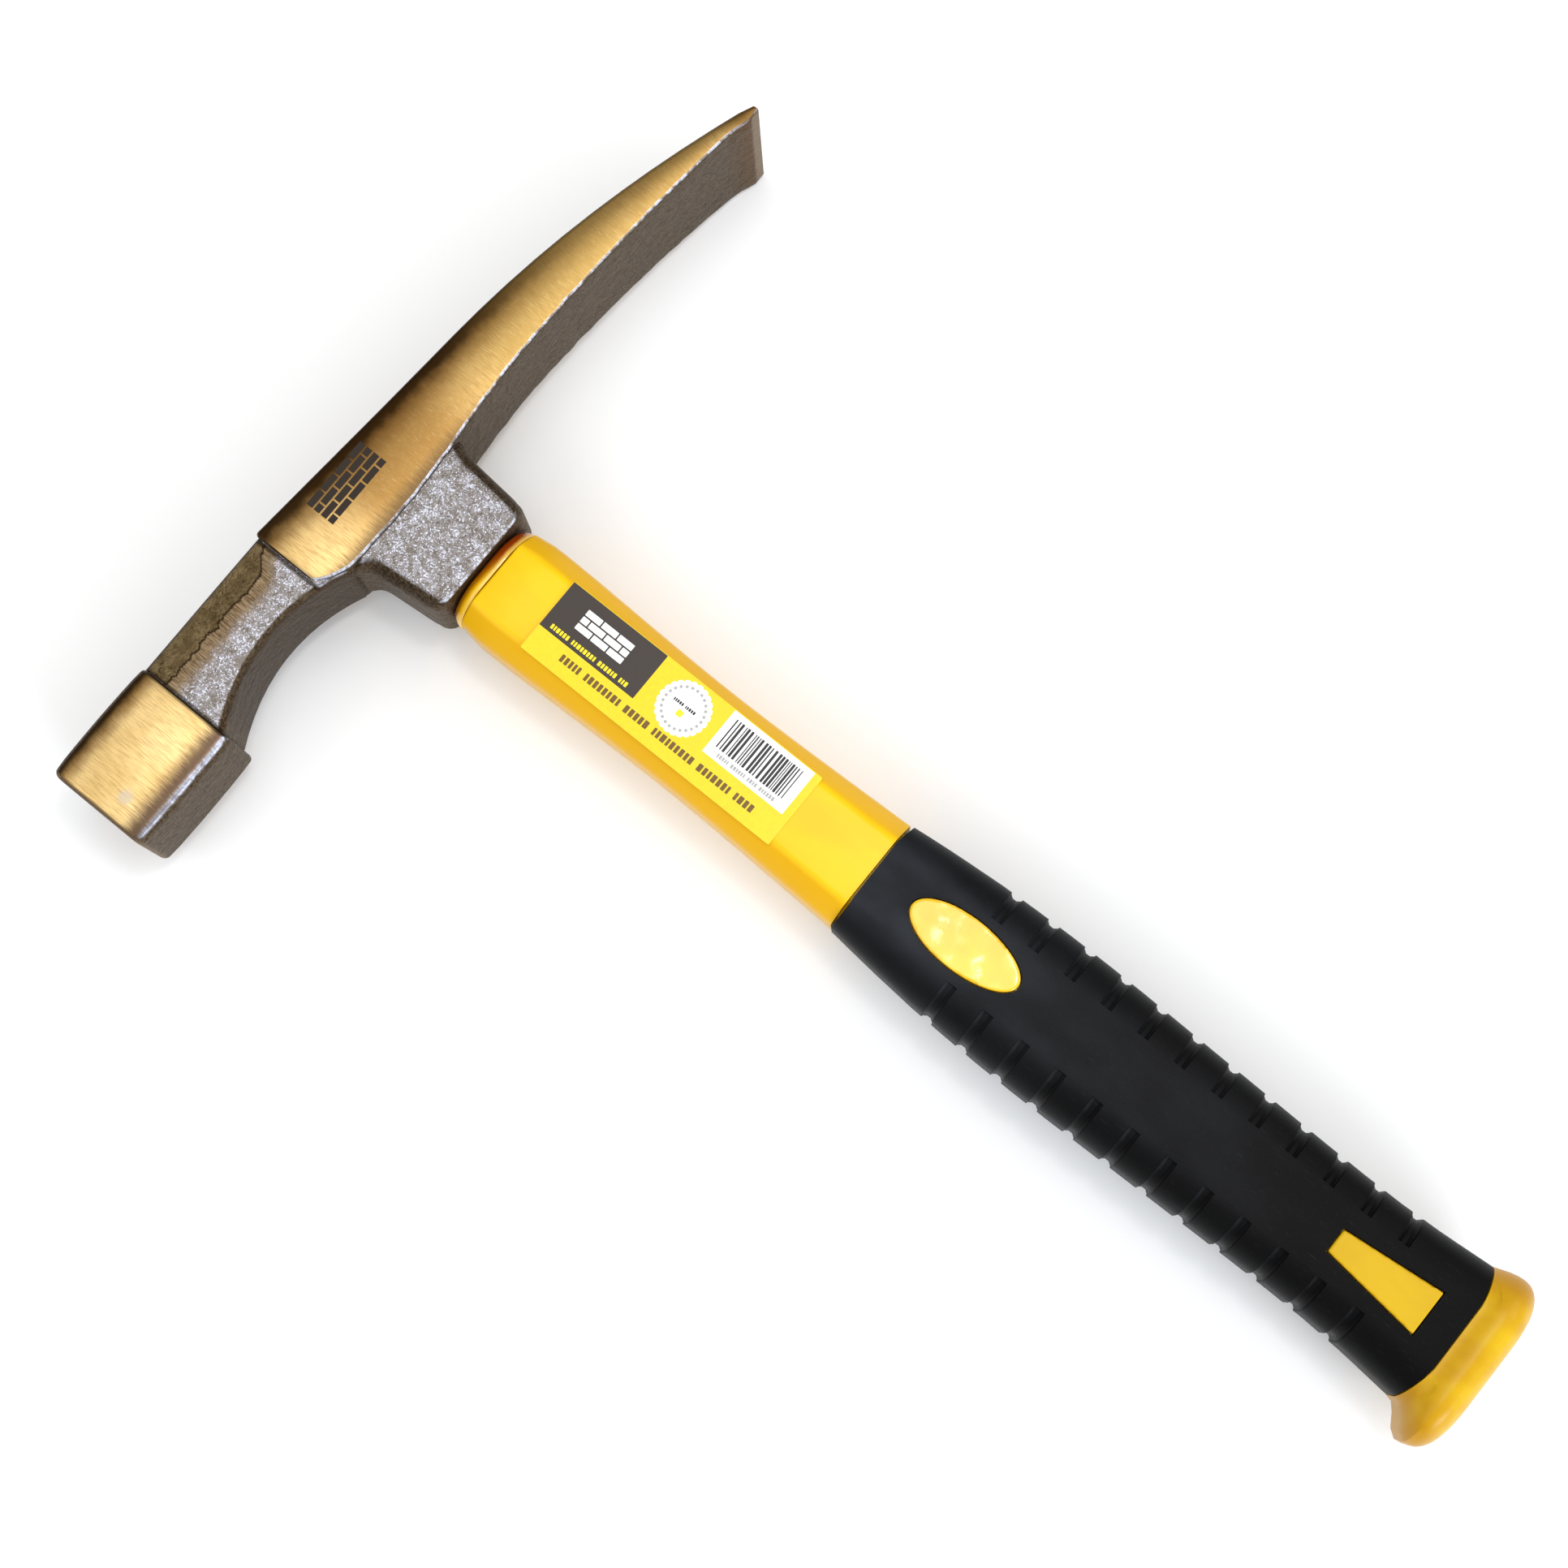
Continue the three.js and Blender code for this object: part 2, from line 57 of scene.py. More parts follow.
# %% [markdown]
# ## The hammer's own measure
#
# A toolmaker measures a hammer from the crown of its poll and from the middle of its handle.
# `spot` turns such a place, in millimetres, into a point in metres: down the handle, along the
# head from poll to blade, and across it. Every piece below is placed with it.

# %% A place on the hammer
MM = 0.001
SWELL = 0.3  # the poll's sides swell this far, so the box starts that much above the crown
core_low, core_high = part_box("fibreglass_core")
head_low, head_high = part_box("head")
CROWN_X = head_low.x + SWELL * MM
AXIS_Y = (core_low.y + core_high.y) / 2
MID_Z = (core_low.z + core_high.z) / 2


def spot(down, along=0.0, across=0.0):
    return Vector((CROWN_X + down * MM, AXIS_Y + along * MM, MID_Z + across * MM))


def reach(node, direction):
    """Where a node starts (-1) or ends (+1) down the handle, in millimetres."""
    low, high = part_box(node)
    return ((high if direction > 0 else low).x - CROWN_X) / MM


RIM = reach("head", 1)
JACKET_START = reach("handle_jacket", -1)
GRIP_START = reach("grip_sleeve", -1)
BUTT_START = reach("butt_cap", -1)
BUTT_END = reach("butt_cap", 1)
JOINT_GAP = 0.3
GRIP_END = BUTT_START - JOINT_GAP
print(f"rim at {RIM:.1f}, grip from {GRIP_START:.1f} to {GRIP_END:.1f}, end at {BUTT_END:.1f} mm")

# %% [markdown]
# ## Camera, floor and light
#
# The hammer lies on its side on a pale floor, and the camera looks down at it from about 59 cm,
# a little off the vertical. Five soft lamps stand for studio softboxes. Three broad ones light
# the whole tool, a bluish one low beyond the butt grazes the rubber, and a small one overhead
# draws the glints on the plastic. Sunlight would be simpler, but polished steel looks like
# whatever it reflects, so it needs broad lamps and a pale sky round it.

# %% Camera
camera_data = bpy.data.cameras.new("camera")
camera_data.lens = 64.61
camera_data.sensor_width = 36
camera = bpy.data.objects.new("camera", camera_data)
bpy.context.scene.collection.objects.link(camera)
camera.location = (0.03939, -0.07349, 0.59259)
camera.rotation_euler = (math.radians(9.672), math.radians(1.4035), math.radians(39.0108))
bpy.context.scene.camera = camera
bpy.context.scene.view_settings.view_transform = "Standard"
print(f"the camera is {camera.location.z * 100:.0f} cm above the floor")


# %% Floor, sky and softboxes
def softbox(name, place, aim, size, watts, colour=(1, 1, 1)):
    data = bpy.data.lights.new(name, "AREA")
    data.shape = "RECTANGLE"
    data.size, data.size_y = size
    data.energy = watts
    data.color = colour
    lamp = bpy.data.objects.new(name, data)
    bpy.context.scene.collection.objects.link(lamp)
    lamp.location = place
    lamp.rotation_euler = (Vector(aim) - Vector(place)).to_track_quat("-Z", "Y").to_euler()
    return lamp


softbox("lamp_over_poll", (-0.55, -0.75, 0.95), (0, 0, 0), (0.9, 0.6), 2.5)
softbox("lamp_far_side", (0.7, 0.9, 1.0), (0, 0, 0), (1.1, 0.7), 5)
softbox("lamp_top", (-0.1, 0.1, 1.5), (0, 0, 0), (0.9, 0.9), 6.5)
softbox("lamp_handle_side", (1.0, -0.35, 0.42), (-0.1, 0, 0), (0.5, 0.35), 7, (0.82, 0.9, 1.0))
softbox("lamp_gloss", (0.06, 0.22, 1.25), (0, 0, 0), (0.14, 0.14), 1.4)

sky = bpy.data.worlds.new("pale_sky")
sky.use_nodes = True
sky.node_tree.nodes["Background"].inputs["Color"].default_value = (1.0, 1.0, 1.0, 1)
sky.node_tree.nodes["Background"].inputs["Strength"].default_value = 0.58
bpy.context.scene.world = sky

bpy.ops.mesh.primitive_plane_add(size=6, location=(0, 0, -0.0002))
floor = bpy.context.object
floor.name = "floor"

# %% [markdown]
# ## Measuring and modelling helpers
#
# A bar such as a handle is made the way a hand modeller makes it: draw its first section, round
# the corners, then extrude the section along the bar and resize it at each station. `probe`
# shoots a ray at the measured model to find its surface, so that the stations take their sizes
# from it. `pick` selects what an operator is to work on, by place and direction.

# %% Probe the measured surface
surfaces = {}


def probe(node, start, toward):
    """The first surface of a node from a place (down, along, across) toward a direction, in mm."""
    if node not in surfaces:
        surfaces[node] = BVHTree.FromPolygons(
            [v.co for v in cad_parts[node].data.vertices],
            [p.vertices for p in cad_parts[node].data.polygons],
        )
    hit = surfaces[node].ray_cast(spot(*start), Vector(toward))[0]
    if hit is None:
        raise ValueError(f"no surface of {node} from {start} toward {toward}")
    return (hit.x - CROWN_X) / MM, (hit.y - AXIS_Y) / MM, (hit.z - MID_Z) / MM


FAR = 60  # mm, well outside the handle


def handle_section(node, down, z_at=0.0, grow_by=0.0):
    """A section across the handle: place, lowest and highest along the head, half width."""
    low = probe(node, (down, -FAR, 0), (0, 1, 0))[1]
    high = probe(node, (down, FAR, 0), (0, -1, 0))[1]
    half = probe(node, (down, z_at, FAR), (0, 0, -1))[2]
    return (down, low - grow_by, high + grow_by, half + grow_by)


# %% Selecting and finishing
def clear_selection():
    if bpy.context.object and bpy.context.object.mode == "EDIT":
        bpy.ops.object.mode_set(mode="OBJECT")
    bpy.ops.object.select_all(action="DESELECT")


def edit(piece):
    clear_selection()
    bpy.context.view_layer.objects.active = piece
    piece.select_set(True)
    bpy.ops.object.mode_set(mode="EDIT")


def pick(piece, kind, test):
    """Selects the vertices, edges or faces of a piece in edit mode that pass a test."""
    bpy.ops.mesh.select_mode(type=kind)
    bpy.ops.mesh.select_all(action="DESELECT")
    shape = bmesh.from_edit_mesh(piece.data)
    items = {"VERT": shape.verts, "EDGE": shape.edges, "FACE": shape.faces}[kind]
    chosen = [item for item in items if test(item)]
    for item in chosen:
        item.select_set(True)
    shape.select_flush_mode()
    bmesh.update_edit_mesh(piece.data)
    return len(chosen)


def apply_modifiers(piece):
    clear_selection()
    bpy.context.view_layer.objects.active = piece
    piece.select_set(True)
    for modifier in list(piece.modifiers):
        bpy.ops.object.modifier_apply(modifier=modifier.name)
    return piece


def combine(piece, other, how):
    """Joins (UNION), cuts (DIFFERENCE) or keeps the common part (INTERSECT), and drops other."""
    modifier = piece.modifiers.new(how.lower(), "BOOLEAN")
    modifier.operation = how
    modifier.object = other
    modifier.solver = "EXACT"
    apply_modifiers(piece)
    bpy.data.objects.remove(other)
    return piece


def face_outwards(piece):
    edit(piece)
    bpy.ops.mesh.select_all(action="SELECT")
    bpy.ops.mesh.remove_doubles(threshold=0.002 * MM)
    bpy.ops.mesh.normals_make_consistent(inside=False)
    clear_selection()
    return piece


def smooth(piece, degrees=35):
    clear_selection()
    bpy.context.view_layer.objects.active = piece
    piece.select_set(True)
    bpy.ops.object.shade_smooth_by_angle(angle=math.radians(degrees))
    print(piece.name, "has", len(piece.data.polygons), "faces")
    return piece


# %% Grow a bar section by section
def grow(name, way, sections, rounding=(), cells=(1, 1)):
    """A closed bar. way is "X", down the handle, or "Y", along the head. A section is its
    place along the bar, its low and high edges in the other flat direction, and half its
    thickness across, all in mm. rounding lists the (offset, segments) that round the first
    section's corners, and cells divides it across and along."""

    def centre(section):
        place, low, high, _ = section
        middle = (low + high) / 2
        return spot(place, middle) if way == "X" else spot(middle, place)

    def size(section):
        wide, thick = (section[2] - section[1]) * MM, 2 * section[3] * MM
        return (1, wide, thick) if way == "X" else (wide, 1, thick)

    clear_selection()
    turn = (0, math.pi / 2, 0) if way == "X" else (math.pi / 2, 0, 0)
    bpy.ops.mesh.primitive_grid_add(
        x_subdivisions=cells[0], y_subdivisions=cells[1], size=1, rotation=turn
    )
    piece = bpy.context.object
    piece.name = name
    bpy.ops.object.transform_apply(location=False, rotation=True, scale=False)
    bpy.ops.object.mode_set(mode="EDIT")
    bpy.ops.mesh.select_all(action="SELECT")
    bpy.ops.transform.resize(value=size(sections[0]), center_override=(0, 0, 0))
    bpy.ops.transform.translate(value=centre(sections[0]))
    for offset, segments in rounding:
        bpy.ops.mesh.select_all(action="SELECT")
        bpy.ops.mesh.bevel(offset=offset * MM, segments=segments, affect="VERTICES")
    bpy.ops.mesh.select_mode(type="FACE")
    bpy.ops.mesh.select_all(action="SELECT")
    for before, after in zip(sections, sections[1:]):
        start, end = centre(before), centre(after)
        bpy.ops.mesh.extrude_region_move(TRANSFORM_OT_translate={"value": end - start})
        change = [new / old for new, old in zip(size(after), size(before))]
        bpy.ops.transform.resize(value=change, center_override=end)
    bpy.ops.mesh.select_all(action="SELECT")
    bpy.ops.mesh.normals_make_consistent(inside=False)
    clear_selection()
    return piece


def spaced(start, end, count):
    return [start + (end - start) * i / (count - 1) for i in range(count)]


def between(points, at):
    """Reads a line through (place, value) points at one place, smoothly."""
    places = [p for p, _ in points]
    if at <= places[0]:
        return points[0][1]
    if at >= places[-1]:
        return points[-1][1]
    i = max(k for k, p in enumerate(places) if p <= at)
    p0, p1 = points[i], points[i + 1]
    before = points[i - 1] if i > 0 else p0
    after = points[i + 2] if i + 2 < len(points) else p1
    slope0 = (p1[1] - before[1]) / (p1[0] - before[0])
    slope1 = (after[1] - p0[1]) / (after[0] - p0[0])
    width = p1[0] - p0[0]
    t = (at - p0[0]) / width
    return (
        (2 * t**3 - 3 * t**2 + 1) * p0[1]
        + (t**3 - 2 * t**2 + t) * width * slope0
        + (3 * t**2 - 2 * t**3) * p1[1]
        + (t**3 - t**2) * width * slope1
    )


def quarter_round(radius, steps):
    """(how far in from the end, how much smaller) pairs that round off a bar's end."""
    turns = spaced(0, math.pi / 2, steps + 1)
    return [(radius * (1 - math.cos(turn)), radius * (1 - math.sin(turn))) for turn in turns]


def shrink(section, inset, thick_inset=None):
    place, low, high, half = section
    return (place, low + inset, high - inset, half - (inset if thick_inset is None else thick_inset))


# %% [markdown]
# ## The core rod
#
# Everything on the handle is moulded or glued round one glass-fibre rod with flat sides and
# round ends, so the same oval rod cuts the eye of the head and the bores of the pieces on it.
# A plane with its corners rounded off by a vertex bevel, extruded once, is such a rod.

# %% Oval rods
CORE_HALF_DEPTH = (core_high.y - core_low.y) / 2 / MM
CORE_HALF_WIDTH = (core_high.z - core_low.z) / 2 / MM
BOND = 0.25  # the glue line
EYE_WALL = 1.5  # from the core to the wall of the eye: resin and two glue lines


def oval_rod(name, sections):
    """sections are (down, how far it stands out from the core)."""
    shapes = [
        (down, -CORE_HALF_DEPTH - out, CORE_HALF_DEPTH + out, CORE_HALF_WIDTH + out)
        for down, out in sections
    ]
    return grow(name, "X", shapes, rounding=[(shapes[0][3] * 0.998, 10)])


# %% [markdown]
# ## The head
#
# A smith forges the head from one bar: a square poll, a necked-down shank, a deep cheek round
# the eye with a socket for the handle, and a blade that flattens, droops and flares to its
# edge. Then only the two flanks of the poll and of the blade are ground bright. The head is
# made in the same four blocks, which are joined at the end and pierced by the eye.

# %% [markdown]
# ### The poll
#
# The square end strikes. Its sides swell by a third of a millimetre, and its edges are rounded,
# because a sharp steel edge would chip. A bevelled cube would have dead flat sides, so the poll
# is grown along the head, through stations that swell in the middle and round off both ends.

# %% The poll
POLL_FACE, POLL_HEEL = -89.3, -60.9
POLL_DEPTH = 24.3
GROUND_HALF = probe("head", (12, -75, FAR), (0, 0, -1))[2] - SWELL


def poll_block():
    face_edge, heel_edge, shrinkage = 1.5, 1.0, 0.12
    square = lambda place, inset: shrink((place, 0, POLL_DEPTH, GROUND_HALF), inset)
    face = [square(POLL_FACE + back, inset) for back, inset in quarter_round(face_edge, 5)]
    length = POLL_HEEL - POLL_FACE
    waist = [
        square(POLL_FACE + length * t, -SWELL * math.sin(math.pi * t) ** 0.7 * (1 - shrinkage))
        for t in (0.14, 0.25, 0.38, 0.5, 0.62, 0.75, 0.88)
    ]
    heel = [square(POLL_HEEL - back, inset) for back, inset in reversed(quarter_round(heel_edge, 4))]
    return grow("poll", "Y", face + waist + heel, rounding=[(2.0, 6)])


poll = poll_block()

# %% [markdown]
# ### The neck
#
# Between poll and cheek the bar is drawn down to save weight, so its underside is a long arch.
# Cutting it with a cylinder would give a true circle, and the real arch is flatter in the
# middle. So the stations along the neck read their depth from the measured model.

# %% The neck, whose underside is a long arch
NECK_CROWN = 0.4
NECK_HALF = 11.5


def neck_block():
    sections = []
    for place in spaced(POLL_HEEL + 0.3, -19.2, 56):
        arch = probe("head", (FAR, place, 0), (-1, 0, 0))[0]
        sections.append((place, NECK_CROWN, arch, NECK_HALF))
    sections.insert(0, (POLL_HEEL - 5, NECK_CROWN, sections[0][2], NECK_HALF))
    sections.append((-12.5, NECK_CROWN + 2, 20, NECK_HALF - 0.2))
    return grow("neck", "Y", sections, rounding=[(2.3, 6)])


neck = neck_block()

# %% [markdown]
# ### The socket
#
# Below the cheek a collar grips the handle. It narrows to its rim, which is rounded so that it
# doesn't bite into the jacket. The last stations shrink a lot along the head and only a little
# across it, which leaves the flanks flat almost to the rim, as on the real head.

# %% The socket below the cheek
SOCKET_TOP = 12.0
RIM_EDGE = 0.6


def socket_block():
    measured = []
    for down in (21.2, 21.8, 22.6, 23.6, 24.8, 27, 30, 33, 36):
        low = probe("head", (down, -45, 0), (0, 1, 0))[1]
        high = probe("head", (down, 60, 0), (0, -1, 0))[1]
        measured.append((down, low, high + 0.3, NECK_HALF))
    top = (SOCKET_TOP, -18.6, 18.2, NECK_HALF)
    root = (20.4, measured[0][1] - 0.6, measured[0][2] + 0.4, NECK_HALF)
    rim_low, rim_high = measured[-1][1] + 0.3, measured[-1][2] - 0.3
    rim = []
    for back, inset in reversed(quarter_round(2.8, 8)):
        sharp = max(0.0, 1 - back / RIM_EDGE)
        flat_inset = RIM_EDGE * (1 - math.sqrt(1 - sharp**2))
        rim.append((RIM - back, rim_low + inset, rim_high - inset, NECK_HALF - flat_inset))
    return grow("socket", "X", [top, root, *measured, *rim], rounding=[(4.4, 8)])


socket = socket_block()

# %% [markdown]
# ### Cheek and blade
#
# The cheek and the blade are one long strip, ground on both flanks, which droops, thins and
# flares to the chisel's edge. A straight bar could be bent, but reading crown and belly from
# the measured model at many stations gives the droop exactly. A little noise makes the belly's
# edge uneven, as hand grinding does, and both long edges are bevelled at the end.

# %% The ground strip: cheek and blade
STRIP_START, TIP = -25.2, 110.0
NOSE_START = 107.0
BELLY = [
    (-25.2, 15.3), (-24.1, 16.8), (-22.5, 18.1), (-20.3, 19.2), (-17.6, 20.2),
    (-7.9, 20.7), (2, 20.75), (11.8, 20.2), (21.8, 19.2),
]


def strip_block():
    sections = []
    near = [STRIP_START + back for back, _ in quarter_round(0.7, 3)][1:]
    for place in [STRIP_START, *near, *spaced(STRIP_START + 1.4, NOSE_START - 0.5, 92)]:
        beside_eye = 9.0
        crown = probe("head", (-FAR, max(place, STRIP_START + 0.8), beside_eye), (1, 0, 0))[0]
        if place < BELLY[-1][0]:
            belly = between(BELLY, place)
        else:
            belly = probe("head", (FAR, place, 0), (-1, 0, 0))[0]
        middle = (crown + belly) / 2
        half = probe("head", (middle, place, FAR), (0, 0, -1))[2] if place > -24 else GROUND_HALF
        wave = 0.22 * noise.noise(Vector((place / 3.1, 5, 0))) + 0.1 * noise.noise(Vector((place, 0, 9)))
        sections.append((place, crown, belly + wave - 0.1, half))
    inset = [0.7 * (1 - math.sin(turn)) for turn in spaced(0, math.pi / 2, 4)]
    for i, amount in enumerate(inset):
        sections[i] = shrink(sections[i], amount)
    nose = probe("head", (FAR, NOSE_START, 0), (-1, 0, 0))[0]
    sections.append((NOSE_START, sections[-1][1] + 0.2, nose - 0.1, sections[-1][3] + 0.1))
    sections.append((TIP, nose - 1.8, nose - 0.25, head_high.z / MM - MID_Z / MM))
    strip = grow("strip", "Y", sections, cells=(1, 6))
    edit(strip)
    crown_edge = lambda e: side_edge(e) and outward(e).x < 0
    belly_edge = lambda e: side_edge(e) and outward(e).x > 0
    pick(strip, "EDGE", crown_edge)
    bpy.ops.mesh.bevel(offset=1.0 * MM, segments=4)
    pick(strip, "EDGE", belly_edge)
    bpy.ops.mesh.bevel(offset=0.7 * MM, segments=3)
    clear_selection()
    return strip


def long_way(edge):
    """How much of an edge runs along the head."""
    return abs((edge.verts[1].co - edge.verts[0].co).normalized().y)


def side_edge(edge):
    return edge.calc_face_angle(0) > 0.9 and long_way(edge) > 0.5


def outward(edge):
    return sum((face.normal for face in edge.link_faces), Vector())


strip = strip_block()

# %% [markdown]
# ### One forging
#
# The four blocks are closed and overlap, so an exact union makes one solid of them. It keeps the
# small steps between ground and forged faces, which a single smooth mesh would lose. The eye is
# cut last, through all of them, with the core's own oval made wider by the resin round it.

# %% Join the four blocks and pierce the eye
head = combine(neck, poll, "UNION")
head = combine(head, socket, "UNION")
head = combine(head, strip, "UNION")
head = combine(head, oval_rod("eye", [(-6, EYE_WALL), (RIM + 6, EYE_WALL)]), "DIFFERENCE")
head.name = "forged_head"
smooth(face_outwards(head), 40)

# %% [markdown]
# ## The yellow jacket
#
# The jacket is moulded over the core from the head to the butt. Its front shows eight flat
# sides. Under the grip it is a plainer, thinner seat. It could be carved from a cube, but a bar
# grown section by section keeps its flats straight while it narrows. Two rounds of vertex bevel
# on the first section give the eight sides and then soften their corners.

# %% Yellow jacket
def handle_jacket():
    grip_shoulder = GRIP_START - JOINT_GAP
    nose_radius = 0.5
    first = handle_section("handle_jacket", JACKET_START + nose_radius + 0.3)
    nose = [
        (JACKET_START + back, first[1] + inset * 0.6, first[2] - inset * 0.6, first[3] - inset * 0.8)
        for back, inset in quarter_round(nose_radius, 6)
    ]
    measured = lambda x: handle_section("handle_jacket", x)
    shaft = [measured(x) for x in spaced(JACKET_START + 5, grip_shoulder - 0.4, 26)]
    shoulder = (grip_shoulder, *shaft[-1][1:])
    seat = [measured(x) for x in spaced(grip_shoulder + 0.05, BUTT_START + 5, 16)]
    rounding = [(4.3, 1), (1.1, 4)]
    jacket = grow("jacket", "X", nose + shaft + [shoulder] + seat, rounding=rounding)
    bore = oval_rod("bore", [(JACKET_START - 5, BOND), (BUTT_END, BOND)])
    return smooth(face_outwards(combine(jacket, bore, "DIFFERENCE")), 40)


jacket = handle_jacket()

# %% [markdown]
# ## The black grip
#
# The grip is a soft sleeve, 2 mm thick, that is pushed on over the jacket. Twelve grooves bite
# into each of its edges and run out on the flanks, and two windows go through each flank. The
# grooves follow a rounded, tapering edge, so a straight cutter would bite unevenly. Each is cut
# with a bent rod instead, a curve laid on the sleeve's own surface and made into a mesh.

# %% Sections of the grip
NOTCH_COUNT = 12
NOTCH_FIRST, NOTCH_LAST = 26.7, 16.2
NOTCH_STAGGER = 1.0
NOTCH_INBOARD = 7.2
NOTCH_WIDTH, NOTCH_DEPTH = 2.9, 1.0
FLANK_OFF_WINDOW = 6.5
notch_places = spaced(GRIP_START + NOTCH_FIRST, GRIP_END - NOTCH_LAST, NOTCH_COUNT)
land = (notch_places[1] - notch_places[0]) / 2
grip_stations = (
    spaced(GRIP_START + 0.05, notch_places[0] - land, 6)
    + [place + land - NOTCH_STAGGER / 2 for place in notch_places]
    + [GRIP_END - 8, GRIP_END - 4.5, GRIP_END - 2, GRIP_END - 0.02]
)
grip_sections = [
    handle_section("grip_sleeve", min(x, GRIP_END - 0.05), z_at=FLANK_OFF_WINDOW) for x in grip_stations
]
grip_sections[-1] = (GRIP_END, *grip_sections[-1][1:])
GRIP_ROUNDING = [(7.2, 8)]
GRIP_WALL = 2.2


def grip_bar(name, out=0.0, past=0.0):
    shapes = [shrink(section, -out) for section in grip_sections]
    first, last = shapes[0], shapes[-1]
    shapes[0] = (first[0] - past, *first[1:])
    shapes[-1] = (last[0] + past, *last[1:])
    return grow(name, "X", shapes, rounding=GRIP_ROUNDING)


# %% Grooves
FLANK_END = 8.6  # mm from the handle's axis, where a flank turns into the edge
ROD_END = NOTCH_INBOARD + 0.6


def bent_rod(place, direction, surface):
    """A round rod that hugs one edge of the grip from flank to flank."""
    radius = (NOTCH_DEPTH**2 + (NOTCH_WIDTH / 2) ** 2) / (2 * NOTCH_DEPTH)
    lift = radius - NOTCH_DEPTH
    data = bpy.data.curves.new("bent_rod", "CURVE")
    data.dimensions = "3D"
    data.bevel_depth = radius * MM
    data.bevel_resolution = 3
    data.use_fill_caps = True
    line = data.splines.new("POLY")
    places = []
    for y in (ROD_END, FLANK_END):
        hit, normal = surface.ray_cast(spot(place, y * direction, FAR), Vector((0, 0, -1)))[:2]
        places.append(hit + normal * lift * MM)
    for turn in spaced(80, -80, 15):
        out = Vector((0, direction * math.cos(math.radians(turn)), math.sin(math.radians(turn))))
        start = spot(place, FLANK_END * direction) + out * 40 * MM
        hit, normal = surface.ray_cast(start, -out)[:2]
        places.append(hit + normal * lift * MM)
    for y in (FLANK_END, ROD_END):
        hit, normal = surface.ray_cast(spot(place, y * direction, -FAR), Vector((0, 0, 1)))[:2]
        places.append(hit + normal * lift * MM)
    line.points.add(len(places) - 1)
    for point, co in zip(line.points, places):
        point.co = (*co, 1)
    rod = bpy.data.objects.new("bent_rod", data)
    bpy.context.scene.collection.objects.link(rod)
    return rod


def notch_cutters(sleeve):
    surface = BVHTree.FromPolygons(
        [v.co for v in sleeve.data.vertices], [p.vertices for p in sleeve.data.polygons]
    )
    clear_selection()
    rods = []
    for place in notch_places:
        rods.append(bent_rod(place - NOTCH_STAGGER, 1, surface))
        rods.append(bent_rod(place, -1, surface))
    for rod in rods:
        rod.select_set(True)
    bpy.context.view_layer.objects.active = rods[0]
    bpy.ops.object.convert(target="MESH")
    bpy.ops.object.join()
    return bpy.context.object


# %% Windows in both flanks
OVAL = {"start": 10.1, "length": 27.5, "depth": 11.8, "proud": 0.7}
WEDGE = {"end_gap": 5.1, "length": 23, "front": 5.9, "back": 10.8, "proud": 0.1}


def oval_prism(name, gap, low, high):
    """The egg-shaped window, blunter towards the butt, as a prism from low to high across."""
    start, end = GRIP_START + OVAL["start"] + gap, GRIP_START + OVAL["start"] + OVAL["length"] - gap
    widest = start + (end - start) * 0.48
    clear_selection()
    bpy.ops.mesh.primitive_circle_add(vertices=72, radius=1, fill_type="NGON")
    prism = bpy.context.object
    prism.name = name
    edit(prism)
    half = OVAL["depth"] / 2 - gap
    bpy.ops.mesh.select_all(action="SELECT")
    bpy.ops.transform.resize(value=(1, half * MM, 1), center_override=(0, 0, 0))
    pick(prism, "VERT", lambda v: v.co.x < -1e-6)
    bpy.ops.transform.resize(value=((widest - start) * MM, 1, 1), center_override=(0, 0, 0))
    pick(prism, "VERT", lambda v: v.co.x > 1e-6)
    bpy.ops.transform.resize(value=((end - widest) * MM, 1, 1), center_override=(0, 0, 0))
    bpy.ops.mesh.select_all(action="SELECT")
    bpy.ops.transform.translate(value=spot(widest, 0, low))
    bpy.ops.mesh.select_mode(type="FACE")
    bpy.ops.mesh.select_all(action="SELECT")
    bpy.ops.mesh.extrude_region_move(TRANSFORM_OT_translate={"value": (0, 0, (high - low) * MM)})
    clear_selection()
    return face_outwards(prism)


def wedge_prism(name, gap, low, high):
    start = GRIP_END - WEDGE["end_gap"] - WEDGE["length"] + gap
    end = GRIP_END - WEDGE["end_gap"] - gap
    clear_selection()
    size = (end - start) * MM
    bpy.ops.mesh.primitive_cube_add(size=1, location=spot((start + end) / 2, 0, (low + high) / 2))
    prism = bpy.context.object
    prism.name = name
    prism.scale = (size, (WEDGE["back"] - 2 * gap) * MM, (high - low) * MM)
    bpy.ops.object.transform_apply(location=True, rotation=False, scale=True)
    edit(prism)
    pick(prism, "VERT", lambda v: v.co.x < spot((start + end) / 2).x)
    narrower = (WEDGE["front"] - 2 * gap) / (WEDGE["back"] - 2 * gap)
    bpy.ops.transform.resize(value=(1, narrower, 1), center_override=spot(start))
    clear_selection()
    return prism


# %% The sleeve
GRIP_BOW = 2.2  # the sleeve's end and the cap's mouth bow towards the butt on the flanks


def bow_ring(piece, at, amount, low, high, shape=lambda across: max(0.0, 1 - across**2)):
    """Moves a ring of points towards the butt, as a rule most in the middle of a flank."""
    edit(piece)
    place = spot(at).x
    points = bmesh.from_edit_mesh(piece.data).verts
    on_ring = lambda v: abs(v.co.x - place) < 0.02 * MM
    rows = sorted({round(v.co.y, 6) for v in points if on_ring(v)})
    for row in rows:
        across = (row - spot(0, (low + high) / 2).y) / ((high - low) / 2 * MM)
        pick(piece, "VERT", lambda v: on_ring(v) and abs(v.co.y - row) < 1e-6)
        bpy.ops.transform.translate(value=(amount * MM * shape(across), 0, 0))
    clear_selection()


